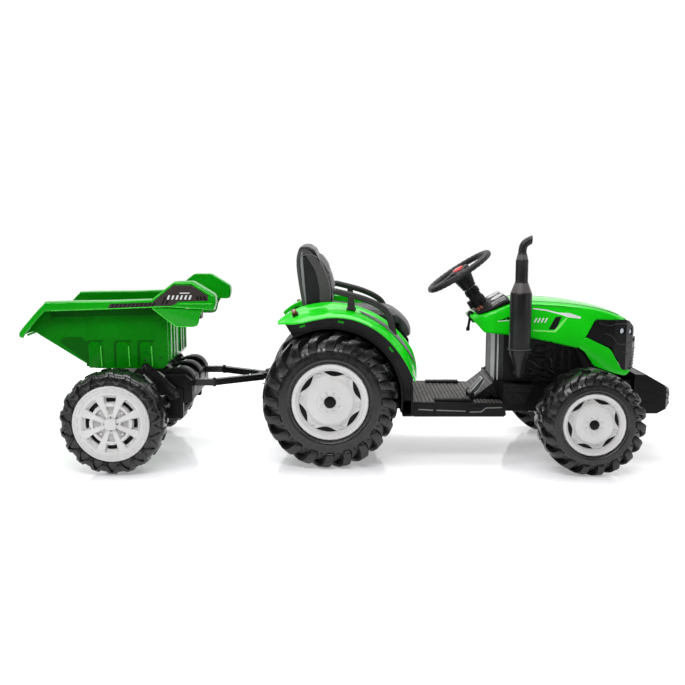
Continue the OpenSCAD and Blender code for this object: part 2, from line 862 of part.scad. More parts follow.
// Square tube with a bend, running from the frame to the tongue, and its bolt
module drawbar(side) {
    half = tube_size / 2;
    bend = [-440, drawbar_half_w];
    tip = [hitch_x - 30, 24];
    slope = atan2(bend[1] - tip[1], tip[0] - bend[0]);
    run = norm(tip - bend);
    color(black) sided(side) translate([0, 0, hitch_z - half]) {
        linear_extrude(tube_size) {
            translate([-495, drawbar_half_w - half]) square([58, tube_size]);
            translate(bend) circle(r = half);
            translate(bend) rotate(-slope) translate([0, -half]) square([run, tube_size]);
        }
        translate([bend[0] + 4, drawbar_half_w, -4]) cylinder(r = 5, h = tube_size + 8);
    }
}

// Moulded trailer frame: side rails to the axle, cheek plates, and a ridged cross member
module trailer_frame() {
    color(black) {
        difference() {
            both_sides(168, 186) polygon([
                [-740, 146], [-524, 146], [-524, 236], [-532, 243], [-566, 243], [-566, 178],
                [-700, 178], [-740, 172]
            ]);
            pin_y(trailer_axle_x, trailer_axle_z, hub_bore_r, -200, 200);
        }
        difference() {
            across(-170, 170) polygon([
                [-585, 190], [-497, 190], [-497, 262], [-512, 280], [-585, 280]
            ]);
            across(-164, 164) polygon([
                [-580, 180], [-502, 180], [-502, 258], [-516, 274], [-580, 274]
            ]);
        }
        for (y = [-118, 0, 118])
            across(y - 24, y + 24) difference() {
                union() {
                    translate([-586, 196]) square([46, 103]);
                    translate([-540, 254]) circle(r = 45);
                    translate([-545, 196]) square([50, 58]);
                }
                translate([-600, 180]) square([100, 94]);
            }
    }
}

// Sloping arms that carry the tub, with the pivot bolts
module tub_arms() {
    x = tub_pivot[0];
    z = tub_pivot[1];
    color(black) for (side = [left, right]) {
        y0 = side > 0 ? 186 : -191;
        difference() {
            union() {
                across(y0, y0 + 5) polygon([
                    [x - 12, z - 6], [x + 4, z + 12], [-548, 240], [-534, 216], [-558, 206]
                ]);
                pin_y(x, z, 13, y0, y0 + 5);
            }
            pin_y(x, z, pivot_r, y0 - 1, y0 + 6);
        }
    }
    color(steel) for (side = [left, right])
        on_axle(side, x, z) {
            translate([0, 0, 168]) cylinder(r = pivot_r, h = 23);
            translate([0, 0, 191]) cylinder(r = 10, h = 5);
        }
}

module trailer_axle() {
    end = trailer_wheel_y + trailer_tyre_w / 2 - 13;
    color(steel) {
        pin_y(trailer_axle_x, trailer_axle_z, axle_r, -end, end);
        for (side = [left, right])
            on_axle(side, trailer_axle_x, trailer_axle_z) translate([0, 0, 190]) difference() {
                cylinder(r = 13, h = 20);
                translate([0, 0, -1]) cylinder(r = axle_r, h = 22);
            }
    }
}

// Hopper, rim with a turned-down lip, wings ahead of the front wall, ribs and pivot lugs
module tub() {
    color(green) difference() {
        union() {
            across(-tub_half_w, tub_half_w) polygon(hopper_outline);
            both_sides(tub_half_w - tub_wall, tub_rim_half_w) polygon(rim_outline);
            both_sides(tub_rim_half_w - 24, tub_rim_half_w - 2) polygon(wing_outline);
            for (x = [-817, -731, -658])
                both_sides(tub_half_w - 1, tub_half_w + 4)
                    translate([x, 303]) square([42, 86]);
            for (y = [-130, -80, -40, 40, 80, 130])
                span([-572, y - 9, 325], [-566, y + 9, 480]);
            both_sides(tub_half_w - 1, tub_half_w + 12) {
                translate([tub_pivot[0] - 14, tub_pivot[1]]) square([28, 42]);
                translate(tub_pivot) circle(r = 14);
            }
        }
        across(tub_wall - tub_half_w, tub_half_w - tub_wall) polygon(hopper_inside);
        both_sides(tub_half_w, tub_rim_half_w - tub_wall)
            translate([0, -tub_wall]) polygon(rim_outline);
        for (side = [left, right]) {
            on_axle(side, tub_pivot[0], tub_pivot[1]) translate([0, 0, tub_half_w + 2])
                cylinder(r = pivot_r + running_gap, h = 20);
            on_axle(side, latch_pivot[0], latch_pivot[1]) translate([0, 0, 181])
                cylinder(r = latch_r + running_gap, h = 11);
        }
    }
}

// Release bar between the wings, with the tab that is pulled
module tub_latch() {
    color(black) {
        pin_y(latch_pivot[0], latch_pivot[1], latch_r, -191, 191);
        span([latch_pivot[0] - 5, -20, 440], [latch_pivot[0] + 5, 20, latch_pivot[1] + 5]);
    }
}

rear_body();
front_chassis();
footboard();
seat_cushion();
seat_back_shell();
seat_back_pad();
fender(left);  // fender_left
fender(right);  // fender_right
armrest(left);  // armrest_left
armrest(right);  // armrest_right
tail_lights();
hood();
engine_block();
dash_panel();
grille_mask();
headlights();
front_bumper();
exhaust_stack();
rear_axle();
front_axle_beam();
hitch_bracket();
hitch_pin();
battery();
gearbox(left);  // gearbox_left
gearbox(right);  // gearbox_right
motor(left);  // motor_left
motor(right);  // motor_right
steering_wheel();
steering_shaft();
horn_button();
pedal();
gear_lever();
knuckle(left);  // knuckle_left
knuckle(right);  // knuckle_right
tie_rod();
front_tyre(left);  // front_tyre_left
front_tyre(right);  // front_tyre_right
front_rim(left);  // front_rim_left
front_rim(right);  // front_rim_right
rear_tyre(left);  // rear_tyre_left
rear_tyre(right);  // rear_tyre_right
rear_rim(left);  // rear_rim_left
rear_rim(right);  // rear_rim_right
drive_gear(left);  // drive_gear_left
drive_gear(right);  // drive_gear_right
motor_pinion(left);  // motor_pinion_left
motor_pinion(right);  // motor_pinion_right
trailer_frame();
drawbar(left);  // drawbar_left
drawbar(right);  // drawbar_right
hitch_tongue();
tub_arms();
trailer_axle();
tub();
tub_latch();
trailer_tyre(left);  // trailer_tyre_left
trailer_tyre(right);  // trailer_tyre_right
trailer_rim(left);  // trailer_rim_left
trailer_rim(right);  // trailer_rim_right
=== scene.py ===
"""Ride-on toy tractor with its tipping trailer: the looks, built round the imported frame.
Lengths are in metres. +X is the way it drives, +Y its left side, +Z up."""
import math

import bmesh
import bpy
import numpy as np
from mathutils import Matrix, Vector


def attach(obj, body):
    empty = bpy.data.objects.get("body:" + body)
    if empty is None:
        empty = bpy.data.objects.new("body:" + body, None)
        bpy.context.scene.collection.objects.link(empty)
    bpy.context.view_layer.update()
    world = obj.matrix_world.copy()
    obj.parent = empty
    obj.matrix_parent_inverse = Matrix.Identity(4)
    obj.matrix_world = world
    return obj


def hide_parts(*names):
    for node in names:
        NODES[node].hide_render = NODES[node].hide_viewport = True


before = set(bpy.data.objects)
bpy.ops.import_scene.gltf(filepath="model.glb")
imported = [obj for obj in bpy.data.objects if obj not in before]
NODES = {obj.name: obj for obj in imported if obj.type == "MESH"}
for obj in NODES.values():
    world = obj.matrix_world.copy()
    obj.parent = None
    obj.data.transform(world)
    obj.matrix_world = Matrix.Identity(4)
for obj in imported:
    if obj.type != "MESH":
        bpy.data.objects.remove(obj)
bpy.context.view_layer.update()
MM = 0.001
TAU = 2 * math.pi
SIDES = (("left", 1), ("right", -1))

# ---------------------------------------------------------------- camera, light and floor

scene = bpy.context.scene


def add_camera():
    data = bpy.data.cameras.new("camera")
    data.lens = 46.2
    data.sensor_width = 36
    cam = bpy.data.objects.new("camera", data)
    cam.location = (-0.030, -2.860, 0.772)
    cam.rotation_euler = (math.radians(81.78), 0, 0)
    scene.collection.objects.link(cam)
    scene.camera = cam


def add_light(name, place, aim, size, power):
    data = bpy.data.lights.new(name, "AREA")
    data.shape = "RECTANGLE"
    data.size, data.size_y = size
    data.energy = power
    lamp = bpy.data.objects.new(name, data)
    lamp.location = place
    lamp.rotation_euler = (Vector(aim) - Vector(place)).to_track_quat("-Z", "Y").to_euler()
    scene.collection.objects.link(lamp)


# ---------------------------------------------------------------- materials

def new_material(name):
    mat = bpy.data.materials.new(name)
    mat.use_nodes = True
    tree = mat.node_tree
    tree.nodes.clear()
    out = tree.nodes.new("ShaderNodeOutputMaterial")
    shader = tree.nodes.new("ShaderNodeBsdfPrincipled")
    tree.links.new(shader.outputs["BSDF"], out.inputs["Surface"])
    return mat, tree, shader


def noise(tree, scale, detail=3.0, stretch=None):
    coords = tree.nodes.new("ShaderNodeTexCoord")
    source = coords.outputs["Object"]
    if stretch:
        mapping = tree.nodes.new("ShaderNodeMapping")
        mapping.inputs["Scale"].default_value = stretch
        tree.links.new(source, mapping.inputs["Vector"])
        source = mapping.outputs["Vector"]
    node = tree.nodes.new("ShaderNodeTexNoise")
    node.inputs["Scale"].default_value = scale
    node.inputs["Detail"].default_value = detail
    tree.links.new(source, node.inputs["Vector"])
    return node.outputs["Fac"]


def cells(tree, scale, feature="F1"):
    coords = tree.nodes.new("ShaderNodeTexCoord")
    node = tree.nodes.new("ShaderNodeTexVoronoi")
    node.feature = feature
    node.inputs["Scale"].default_value = scale
    tree.links.new(coords.outputs["Object"], node.inputs["Vector"])
    return node.outputs["Distance"]


def span_map(tree, source, low, high, lo=0.35, hi=0.65):
    node = tree.nodes.new("ShaderNodeMapRange")
    node.inputs["From Min"].default_value = lo
    node.inputs["From Max"].default_value = hi
    node.inputs["To Min"].default_value = low
    node.inputs["To Max"].default_value = high
    tree.links.new(source, node.inputs["Value"])
    return node.outputs["Result"]


def mix_colour(tree, factor, a, b):
    node = tree.nodes.new("ShaderNodeMix")
    node.data_type = "RGBA"
    node.inputs["A"].default_value = (*a, 1)
    node.inputs["B"].default_value = (*b, 1)
    tree.links.new(factor, node.inputs["Factor"])
    return node.outputs["Result"]


def bump(tree, shader, layers):
    """layers: (height socket, strength, distance in metres), the first one lowest."""
    normal = None
    for height, strength, distance in layers:
        node = tree.nodes.new("ShaderNodeBump")
        node.inputs["Strength"].default_value = strength
        node.inputs["Distance"].default_value = distance
        tree.links.new(height, node.inputs["Height"])
        if normal:
            tree.links.new(normal, node.inputs["Normal"])
        normal = node.outputs["Normal"]
    tree.links.new(normal, shader.inputs["Normal"])


def plastic(name, dark, light, rough, grain, grain_scale=900, coat=0.0, patch_scale=6, spec=0.30):
    """Moulded plastic: slow colour drift, uneven gloss and a fine mould grain."""
    mat, tree, shader = new_material(name)
    patches = span_map(tree, noise(tree, patch_scale), 0, 1)
    tree.links.new(mix_colour(tree, patches, dark, light), shader.inputs["Base Color"])
    tree.links.new(span_map(tree, noise(tree, 35), rough - 0.04, rough + 0.05), shader.inputs["Roughness"])
    shader.inputs["Specular IOR Level"].default_value = spec
    shader.inputs["Coat Weight"].default_value = coat
    shader.inputs["Coat Roughness"].default_value = 0.06
    bump(tree, shader, [(noise(tree, 14, 2), 0.12, 0.0012), (noise(tree, grain_scale), grain, 0.0003)])
    return mat


def rubber(name, base, dust, rough):
    """Tyre rubber: cloudy black, faint dust and a pebbled skin."""
    mat, tree, shader = new_material(name)
    clouds = span_map(tree, noise(tree, 22, 5), 0, 1, 0.4, 0.75)
    tree.links.new(mix_colour(tree, clouds, base, dust), shader.inputs["Base Color"])
    tree.links.new(span_map(tree, noise(tree, 60, 4), rough - 0.07, rough + 0.1), shader.inputs["Roughness"])
    shader.inputs["Specular IOR Level"].default_value = 0.60
    bump(tree, shader, [(noise(tree, 120, 4), 0.07, 0.0008), (noise(tree, 1400), 0.10, 0.0003)])
    return mat


def leather(name, base, worn, rough):
    """Grained leatherette: wrinkled cells over soft folds."""
    mat, tree, shader = new_material(name)
    worn_in = span_map(tree, noise(tree, 18, 4), 0, 1, 0.42, 0.7)
    tree.links.new(mix_colour(tree, worn_in, base, worn), shader.inputs["Base Color"])
    tree.links.new(span_map(tree, cells(tree, 420), rough + 0.1, rough - 0.06, 0.1, 0.7),
                   shader.inputs["Roughness"])
    shader.inputs["Sheen Weight"].default_value = 0.08
    bump(tree, shader, [(noise(tree, 45, 3), 0.25, 0.002),
                        (cells(tree, 420, "DISTANCE_TO_EDGE"), 0.5, 0.0006)])
    return mat


def metal(name, base, bright, rough, stretch):
    """Turned or brushed steel, streaked along one axis."""
    mat, tree, shader = new_material(name)
    streaks = noise(tree, 160, 4, stretch)
    tree.links.new(mix_colour(tree, span_map(tree, streaks, 0, 1), base, bright), shader.inputs["Base Color"])
    tree.links.new(span_map(tree, streaks, rough - 0.06, rough + 0.1), shader.inputs["Roughness"])
    shader.inputs["Metallic"].default_value = 1.0
    bump(tree, shader, [(streaks, 0.12, 0.0004)])
    return mat


GREEN = plastic("green_plastic", (0.003, 0.51, 0.003), (0.006, 0.61, 0.006), 0.22, 0.03, coat=0.42, spec=0.18)
# Darker green: painted shade along the hood's crease grooves; the fender clips use it too
GREEN_DARK_AND_PAINTED_SHADE = plastic("dark_green_and_painted_shade", (0.003, 0.20, 0.002), (0.006, 0.27, 0.004), 0.30, 0.05)
BLACK = plastic("black_plastic", (0.0035, 0.0035, 0.0038), (0.007, 0.007, 0.0073), 0.34, 0.30, spec=0.16)
BLACK_GRAIN = plastic("black_grained", (0.004, 0.004, 0.0043), (0.008, 0.008, 0.0083), 0.46, 0.9, 520,
                      spec=0.18)
# Grey-brown on the black treads and the ramp: painted sheen of light off their tops
TREAD_PAINTED_SHEEN = plastic("tread_painted_sheen", (0.085, 0.078, 0.073), (0.140, 0.130, 0.123), 0.46, 0.7, 500)
GREY = plastic("dark_grey_plastic", (0.016, 0.0155, 0.015), (0.028, 0.027, 0.027), 0.42, 0.45)
LIGHT_GREY = plastic("light_grey_plastic", (0.44, 0.44, 0.45), (0.54, 0.54, 0.55), 0.35, 0.25)
WHITE = plastic("white_plastic", (0.57, 0.562, 0.556), (0.65, 0.642, 0.636), 0.30, 0.06, coat=0.2)
RED = plastic("red_plastic", (0.62, 0.012, 0.012), (0.75, 0.02, 0.02), 0.25, 0.05, coat=0.4)
ORANGE = plastic("orange_lamp", (0.15, 0.030, 0.014), (0.24, 0.055, 0.022), 0.15, 0.02, coat=0.8)
LAMP = plastic("lamp_glass", (0.55, 0.60, 0.66), (0.78, 0.82, 0.88), 0.08, 0.02, coat=1.0)
TYRE = rubber("tyre_rubber", (0.0036, 0.0036, 0.0039), (0.009, 0.009, 0.0094), 0.29)
LEATHER = leather("leather", (0.010, 0.010, 0.0105), (0.026, 0.026, 0.027), 0.40)
THREAD = plastic("thread", (0.10, 0.10, 0.10), (0.16, 0.16, 0.16), 0.7, 0.8)
STEEL = metal("steel", (0.40, 0.40, 0.41), (0.62, 0.62, 0.64), 0.32, (1, 0.05, 1))
BLACK_STEEL = plastic("black_painted_steel", (0.007, 0.007, 0.0075), (0.015, 0.015, 0.016), 0.26, 0.35, 300,
                      coat=0.2)
SEAT_DARK = plastic("seat_side_dark", (0.007, 0.0085, 0.008), (0.013, 0.015, 0.014), 0.40, 0.55, 600)
BOLSTER = plastic("seat_bolster", (0.048, 0.047, 0.046), (0.068, 0.067, 0.066), 0.42, 0.6, 600)
# Pale grey: a painted highlight on the seat shell's rounded rear corners
BEAD_PAINTED_HIGHLIGHT = plastic("seat_painted_highlight", (0.16, 0.17, 0.165), (0.24, 0.25, 0.245), 0.30, 0.3, 700)
SEAT_PLASTIC = plastic("seat_plastic", (0.016, 0.0165, 0.0165), (0.027, 0.028, 0.028), 0.40, 0.55, 600)
# Grey stripe on the fenders, and a painted highlight along the footboard's side groove
STRIPE_AND_HIGHLIGHT_GREY = plastic("stripe_and_painted_highlight_grey", (0.14, 0.15, 0.14), (0.22, 0.23, 0.22), 0.4, 0.3, 700)
# Silver: film on the hood and the tub, and a painted highlight on the pedal's edges
SILVER = plastic("silver_film_and_painted_highlight", (0.62, 0.64, 0.63), (0.74, 0.76, 0.75), 0.25, 0.1, coat=0.4)
# Light green: a painted highlight along the raised lower edge of the hood's flash
HIGHLIGHT = plastic("light_green_painted_highlight", (0.16, 0.75, 0.12), (0.22, 0.82, 0.16), 0.22, 0.05, coat=0.4)
MASK = plastic("mask_plastic", (0.0035, 0.0035, 0.004), (0.007, 0.007, 0.0075), 0.30, 0.25, 700, coat=0.05,
               spec=0.16)
STACK = plastic("stack_plastic", (0.006, 0.006, 0.0065), (0.012, 0.012, 0.0125), 0.34, 0.7, 650,
                patch_scale=12)
WHEEL_GRIP = plastic("wheel_grip", (0.012, 0.012, 0.0125), (0.022, 0.022, 0.023), 0.46, 0.8, 600)
PEDAL = plastic("pedal_plastic", (0.030, 0.032, 0.034), (0.055, 0.058, 0.06), 0.34, 0.4, 700, coat=0.2)
# Lighter grey on the stack's flares: painted highlight where light falls on the cones
CONE_PAINTED_HIGHLIGHT = plastic("stack_cone_painted_highlight", (0.050, 0.047, 0.045), (0.085, 0.080, 0.078), 0.36, 0.6, 650)
TUB_GREEN = plastic("tub_green", (0.002, 0.28, 0.003), (0.004, 0.35, 0.005), 0.24, 0.03, coat=0.25, spec=0.16)
# Darker copy of the tub green: painted shade on the walls under the rim
TUB_WALL_PAINTED_SHADE = plastic("tub_wall", (0.0008, 0.145, 0.001), (0.0016, 0.20, 0.002), 0.26, 0.03, coat=0.06,
                   spec=0.12)
# Dark green: painted shade beside the panels and under the rim
TUB_PAINTED_SHADOW = plastic("painted_shadow_tub_green", (0.0006, 0.078, 0.0008), (0.0012, 0.105, 0.0015), 0.30, 0.05, spec=0.12)
# Light green: painted highlights on the moulded edges of the tub
TUB_PAINTED_HIGHLIGHT = plastic("painted_highlight_tub_green", (0.05, 0.58, 0.04), (0.08, 0.66, 0.06), 0.24, 0.05, coat=0.3)
DECAL = plastic("decal_grey", (0.026, 0.020, 0.018), (0.042, 0.034, 0.031), 0.45, 0.3, 800)

# ---------------------------------------------------------------- mesh helpers
# A shape is (points, faces) with points as an (n, 3) array, so shapes join, mirror and repeat.

def join(*shapes):
    points, faces, count = [], [], 0
    for p, f in shapes:
        p = np.asarray(p, float)
        points.append(p)
        faces += [tuple(i + count for i in face) for face in f]
        count += len(p)
    return np.concatenate(points), faces


def mirrored(shape):
    points = np.array(shape[0], float)
    points[:, 1] *= -1
    return points, [tuple(reversed(f)) for f in shape[1]]


def moved(shape, offset):
    return np.asarray(shape[0], float) + np.asarray(offset, float), shape[1]


def turned(shape, angle, axis="Y"):
    m = np.array(Matrix.Rotation(angle, 3, axis))
    return np.asarray(shape[0], float) @ m.T, shape[1]


def placed(shape, matrix):
    return np.array([(matrix @ Vector(p))[:] for p in shape[0]]), shape[1]


def place_at(point, degrees, axis):
    return Matrix.Translation(point) @ Matrix.Rotation(math.radians(degrees), 4, axis)


def on_side(shape, side):
    """A shape drawn for the left side, or its mirror image for the right one."""
    return shape if side > 0 else mirrored(shape)


def both_sides(*shapes):
    """Shapes drawn for the left side, with their mirror images."""
    return join(*shapes, *[mirrored(s) for s in shapes])


def polar(radius, angle):
    return radius * math.cos(angle), radius * math.sin(angle)


def mm(points):
    """Points drawn in millimetres, in metres."""
    return [tuple(v * MM for v in p) for p in points]


def row_at(line_xz, y, dx=0.0, dz=0.0):
    """A row of points along an XZ line, set at y."""
    return np.column_stack([line_xz[:, 0] + dx, np.full(len(line_xz), y), line_xz[:, 1] + dz])


def grid(rows, close_rows=False, close_cols=False, caps=False):
    """Faces over rows of points, each row with the same number of points."""
    rows = [np.asarray(r, float) for r in rows]
    n, m = len(rows), len(rows[0])
    faces = []
    for i in range(n if close_rows else n - 1):
        for j in range(m if close_cols else m - 1):
            a, b = i * m, ((i + 1) % n) * m
            k = (j + 1) % m
            faces.append((a + j, a + k, b + k, b + j))
    if caps:
        faces.append(tuple(range(m - 1, -1, -1)))
        faces.append(tuple(range((n - 1) * m, n * m)))
    return np.concatenate(rows), faces


def lathe(profile, steps, closed=False):
    """Turns (radius, y) points about the Y axis; the angle runs from +X towards +Z."""
    rows = []
    for i in range(steps):
        a = TAU * i / steps
        rows.append([(r * math.cos(a), y, r * math.sin(a)) for r, y in profile])
    return grid(rows, close_rows=True, close_cols=closed)


def lathe_z(profile, steps):
    """Turns (radius, z) points about the Z axis."""
    points, faces = lathe(profile, steps)
    return points[:, [0, 2, 1]], faces


def prism(outline, y0, y1):
    """An XZ outline between two Y planes."""
    rows = [[(x, y, z) for x, z in outline] for y in (y0, y1)]
    return grid(rows, close_cols=True, caps=True)


def block(low, high):
    (x0, y0, z0), (x1, y1, z1) = low, high
    return prism([(x0, z0), (x1, z0), (x1, z1), (x0, z1)], y0, y1)


def bar(a, b, width, height, up=(0, 0, 1)):
    """A straight bar of rectangular section from a to b."""
    a, b = Vector(a), Vector(b)
    along = (b - a).normalized()
    side = along.cross(Vector(up)).normalized() * width / 2
    top = side.cross(along).normalized() * height / 2
    rows = [[p + side + top, p + side - top, p - side - top, p - side + top] for p in (a, b)]
    return grid(rows, close_cols=True, caps=True)


def rods(lines, y, width, height, soft=0.0, segments=1):
    """Thin bars lying flat on the side at y, along XZ lines in millimetres."""
    shapes = []
    for points in map(mm, lines):
        for (x0, z0), (x1, z1) in zip(points, points[1:]):
            rod = bar((x0, y, z0), (x1, y, z1), width, height, (0, 1, 0))
            shapes.append(softened(rod, soft, segments) if soft else rod)
    return shapes


def smooth_path(points, count):
    """A Catmull-Rom curve through the points."""
    pts = [np.asarray(p, float) for p in points]
    pts = [2 * pts[0] - pts[1]] + pts + [2 * pts[-1] - pts[-2]]
    out = []
    spans = len(pts) - 3
    for k in range(count):
        t = k / (count - 1) * spans
        i = min(int(t), spans - 1)
        t -= i
        p0, p1, p2, p3 = pts[i:i + 4]
        out.append(0.5 * (2 * p1 + (p2 - p0) * t + (2 * p0 - 5 * p1 + 4 * p2 - p3) * t * t
                          + (3 * p1 - p0 - 3 * p2 + p3) * t ** 3))
    return np.array(out)


def tube(points, radii, sides=16, flat=1.0, up=(0, 1, 0)):
    """A round or flattened tube along points; radii is one number or one for each point."""
    pts = np.asarray(points, float)
    radii = np.broadcast_to(radii, len(pts))
    rows = []
    for i, p in enumerate(pts):
        run = Vector(pts[min(i + 1, len(pts) - 1)] - pts[max(i - 1, 0)]).normalized()
        u = run.cross(Vector(up)).normalized()
        v = u.cross(run)
        rows.append([np.array(p) + radii[i] * (np.array(u) * math.cos(a) + np.array(v) * math.sin(a) * flat)
                     for a in [TAU * k / sides for k in range(sides)]])
    return grid(rows, close_cols=True, caps=True)


def to_bmesh(shape):
    bm = bmesh.new()
    verts = [bm.verts.new(p) for p in shape[0]]
    for f in shape[1]:
        try:
            bm.faces.new([verts[i] for i in f])
        except ValueError:
            pass
    return bm


def from_bmesh(bm):
    bm.verts.index_update()
    points = np.array([v.co[:] for v in bm.verts])
    faces = [tuple(v.index for v in f.verts) for f in bm.faces]
    bm.free()
    return points, faces


def softened(shape, width, segments=2, angle=30):
    """Rounds every edge sharper than the angle."""
    bm = to_bmesh(shape)
    bmesh.ops.recalc_face_normals(bm, faces=bm.faces)
    edges = [e for e in bm.edges if len(e.link_faces) == 2
             and e.calc_face_angle(0) > math.radians(angle)]
    bmesh.ops.bevel(bm, geom=edges, offset=width, offset_type="OFFSET", segments=segments,
                    profile=0.6, affect="EDGES", clamp_overlap=True)
    return from_bmesh(bm)


def round_corners(outline, radius, steps=3):
    """Rounds each corner of a closed 2D outline."""
    pts = [np.asarray(p, float) for p in outline]
    out = []
    for i, p in enumerate(pts):
        a, b = pts[i - 1] - p, pts[(i + 1) % len(pts)] - p
        la, lb = np.linalg.norm(a), np.linalg.norm(b)
        cut = min(radius, 0.45 * la, 0.45 * lb)
        p0, p2 = p + a / la * cut, p + b / lb * cut
        for k in range(steps + 1):
            t = k / steps
            out.append(tuple((1 - t) ** 2 * p0 + 2 * t * (1 - t) * p + t * t * p2))
    return out


def rounded(outline, radius, steps=3):
    """An outline in millimetres with its corners rounded, in metres."""
    return mm(round_corners(outline, radius, steps))


def face_outwards(mesh):
    bm = bmesh.new()
    bm.from_mesh(mesh)
    bmesh.ops.recalc_face_normals(bm, faces=bm.faces)
    bm.to_mesh(mesh)
    bm.free()


def piece(name, shape, mat, hides=(), sharp=40, body="chassis"):
    mesh = bpy.data.meshes.new(name)
    mesh.from_pydata([tuple(p) for p in shape[0]], [], [tuple(f) for f in shape[1]])
    face_outwards(mesh)
    mesh.materials.append(mat)
    mesh.shade_smooth()
    mesh.set_sharp_from_angle(angle=math.radians(sharp))
    obj = bpy.data.objects.new(name, mesh)
    scene.collection.objects.link(obj)
    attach(obj, body)
    if hides:
        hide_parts(*hides)
    return obj


def cut(obj, cutter):
    """Subtracts the cutter's shape from obj and bakes it in."""
    mesh = bpy.data.meshes.new("cutter")
    mesh.from_pydata([tuple(p) for p in cutter[0]], [], [tuple(f) for f in cutter[1]])
    face_outwards(mesh)
    tool = bpy.data.objects.new("cutter", mesh)
    scene.collection.objects.link(tool)
    mod = obj.modifiers.new("cut", "BOOLEAN")
    mod.object = tool
    mod.operation = "DIFFERENCE"
    mod.solver = "EXACT"
    apply_modifiers(obj)
    bpy.data.objects.remove(tool)
    bpy.data.meshes.remove(mesh)


def apply_modifiers(obj, sharp=40):
    graph = bpy.context.evaluated_depsgraph_get()
    fresh = bpy.data.meshes.new_from_object(obj.evaluated_get(graph))
    obj.modifiers.clear()
    old = obj.data
    obj.data = fresh
    bpy.data.meshes.remove(old)
    fresh.shade_smooth()
    fresh.set_sharp_from_angle(angle=math.radians(sharp))


def bevel(obj, width, segments=2, angle=35):
    mod = obj.modifiers.new("round", "BEVEL")
    mod.width = width
    mod.segments = segments
    mod.limit_method = "ANGLE"
    mod.angle_limit = math.radians(angle)
    mod.harden_normals = True


def paint(nodes, mat, round_off=0.0, segments=2, angle=35):
    """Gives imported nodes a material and, where round_off is set, rounded edges."""
    for name in nodes:
        mesh = NODES[name].data
        mesh.materials.clear()
        mesh.materials.append(mat)
        if round_off:
            bevel(NODES[name], round_off, segments, angle)

# ---------------------------------------------------------------- wheels
# Each wheel is drawn for the left side round its own centre, +Y outwards.

# Points of a lug's path as fractions of the tyre's section: outer radius and half width,
# the root under it, then how far it has turned (degrees) and its half width in mm
TRACTOR_LUG = [(0.44, 0.955, 0.44, 0.80, 0.5, 8.5), (0.47, 0.995, 0.46, 0.80, 0.3, 11),
               (0.58, 1.000, 0.54, 0.80, 0.0, 12), (0.70, 0.992, 0.62, 0.76, -0.8, 12.5),
               (0.82, 0.965, 0.72, 0.72, -2.0, 13), (0.92, 0.900, 0.78, 0.66, -4.0, 13),
               (0.972, 0.770, 0.82, 0.57, -6.5, 13), (0.99, 0.560, 0.84, 0.46, -10.0, 13),
               (1.0, 0.280, 0.85, 0.28, -13.5, 12.5), (1.0, -0.06, 0.85, -0.04, -16.0, 9)]
TRACTOR_CARCASS = [(0.0, 0.62), (0.0, 0.80), (0.02, 0.885), (0.06, 0.92), (0.09, 0.915), (0.11, 0.935),
                   (0.16, 0.945), (0.18, 0.94), (0.3, 0.945), (0.40, 0.935), (0.47, 0.905), (0.55, 0.845),
                   (0.64, 0.775), (0.73, 0.70), (0.80, 0.60), (0.845, 0.45), (0.862, 0.25), (0.868, 0.0)]


def tyre_point(bead, top, half, r, w):
    return bead + r * (top - bead), w * half


def lug_shape(bead, top, half, path, scale):
    rows = []
    for r_out, w_out, r_in, w_in, turn, wide in path:
        ro, yo = tyre_point(bead, top, half, r_out, w_out)
        ri, yi = tyre_point(bead, top, half, r_in, w_in)
        row = []
        for r, y, side, spread in ((ri, yi, -1, 1.35), (ro, yo, -1, 1.0), (ro, yo, 1, 1.0),
                                   (ri, yi, 1, 1.35)):
            a = math.radians(turn) + side * spread * wide * MM * scale / r
            row.append((r * math.cos(a), y, r * math.sin(a)))
        rows.append(row)
    return softened(grid(rows, close_cols=True, caps=True), 0.0022 * scale, 2, 25)


def tractor_tyre_shape(bead, top, half, lugs, scale):
    profile = [tyre_point(bead, top, half, r, w) for r, w in TRACTOR_CARCASS]
    profile += [(r, -y) for r, y in profile[-2::-1]]
    shapes = [lathe(profile, 120)]
    lug = lug_shape(bead, top, half, TRACTOR_LUG, scale)
    other = mirrored(lug)
    bump_r, bump_y = tyre_point(bead, top, half, 0.50, 0.905)
    hook = softened(bar((bump_r - 0.004 * scale, bump_y, 0),
                        (bump_r + 0.007 * scale, bump_y - 0.003 * scale, 0), 0.006 * scale, 0.007 * scale,
                        (0, 1, 0)), 0.0012 * scale, 1)
    for i in range(lugs):
        shapes.append(turned(lug, -TAU * i / lugs))
        shapes.append(turned(other, -TAU * (i + 0.5) / lugs))
        shapes.append(turned(hook, -TAU * (i + 0.5) / lugs))
        shapes.append(turned(mirrored(hook), -TAU * i / lugs))
    return join(*shapes)


def lens_cutter(radius, half_long, deep_in, deep_out, y0, y1, count, phase):
    """Slots shaped as crescents round the rim's web."""
    outline = []
    for i in range(13):
        t = -1 + i / 6
        outline.append((t * half_long / radius, radius + deep_out))
    for i in range(1, 12):
        t = 1 - i / 6
        outline.append((t * half_long / radius, radius + deep_out - (deep_in + deep_out) * (1 - t * t)))
    shapes = []
    for k in range(count):
        a0 = phase + TAU * k / count
        shapes.append(prism([polar(r, a0 + a) for a, r in outline], y0, y1))
    return join(*shapes)


def dome(x, z, y, radius, height, steps=10):
    """A rivet or bolt head standing out along +Y."""
    rows = []
    for k in range(5):
        t = k / 4 * math.pi / 2
        rows.append([(x + radius * math.cos(t) * math.cos(TAU * i / steps), y + height * math.sin(t),
                      z + radius * math.cos(t) * math.sin(TAU * i / steps)) for i in range(steps)])
    return grid(rows, close_cols=True, caps=True)


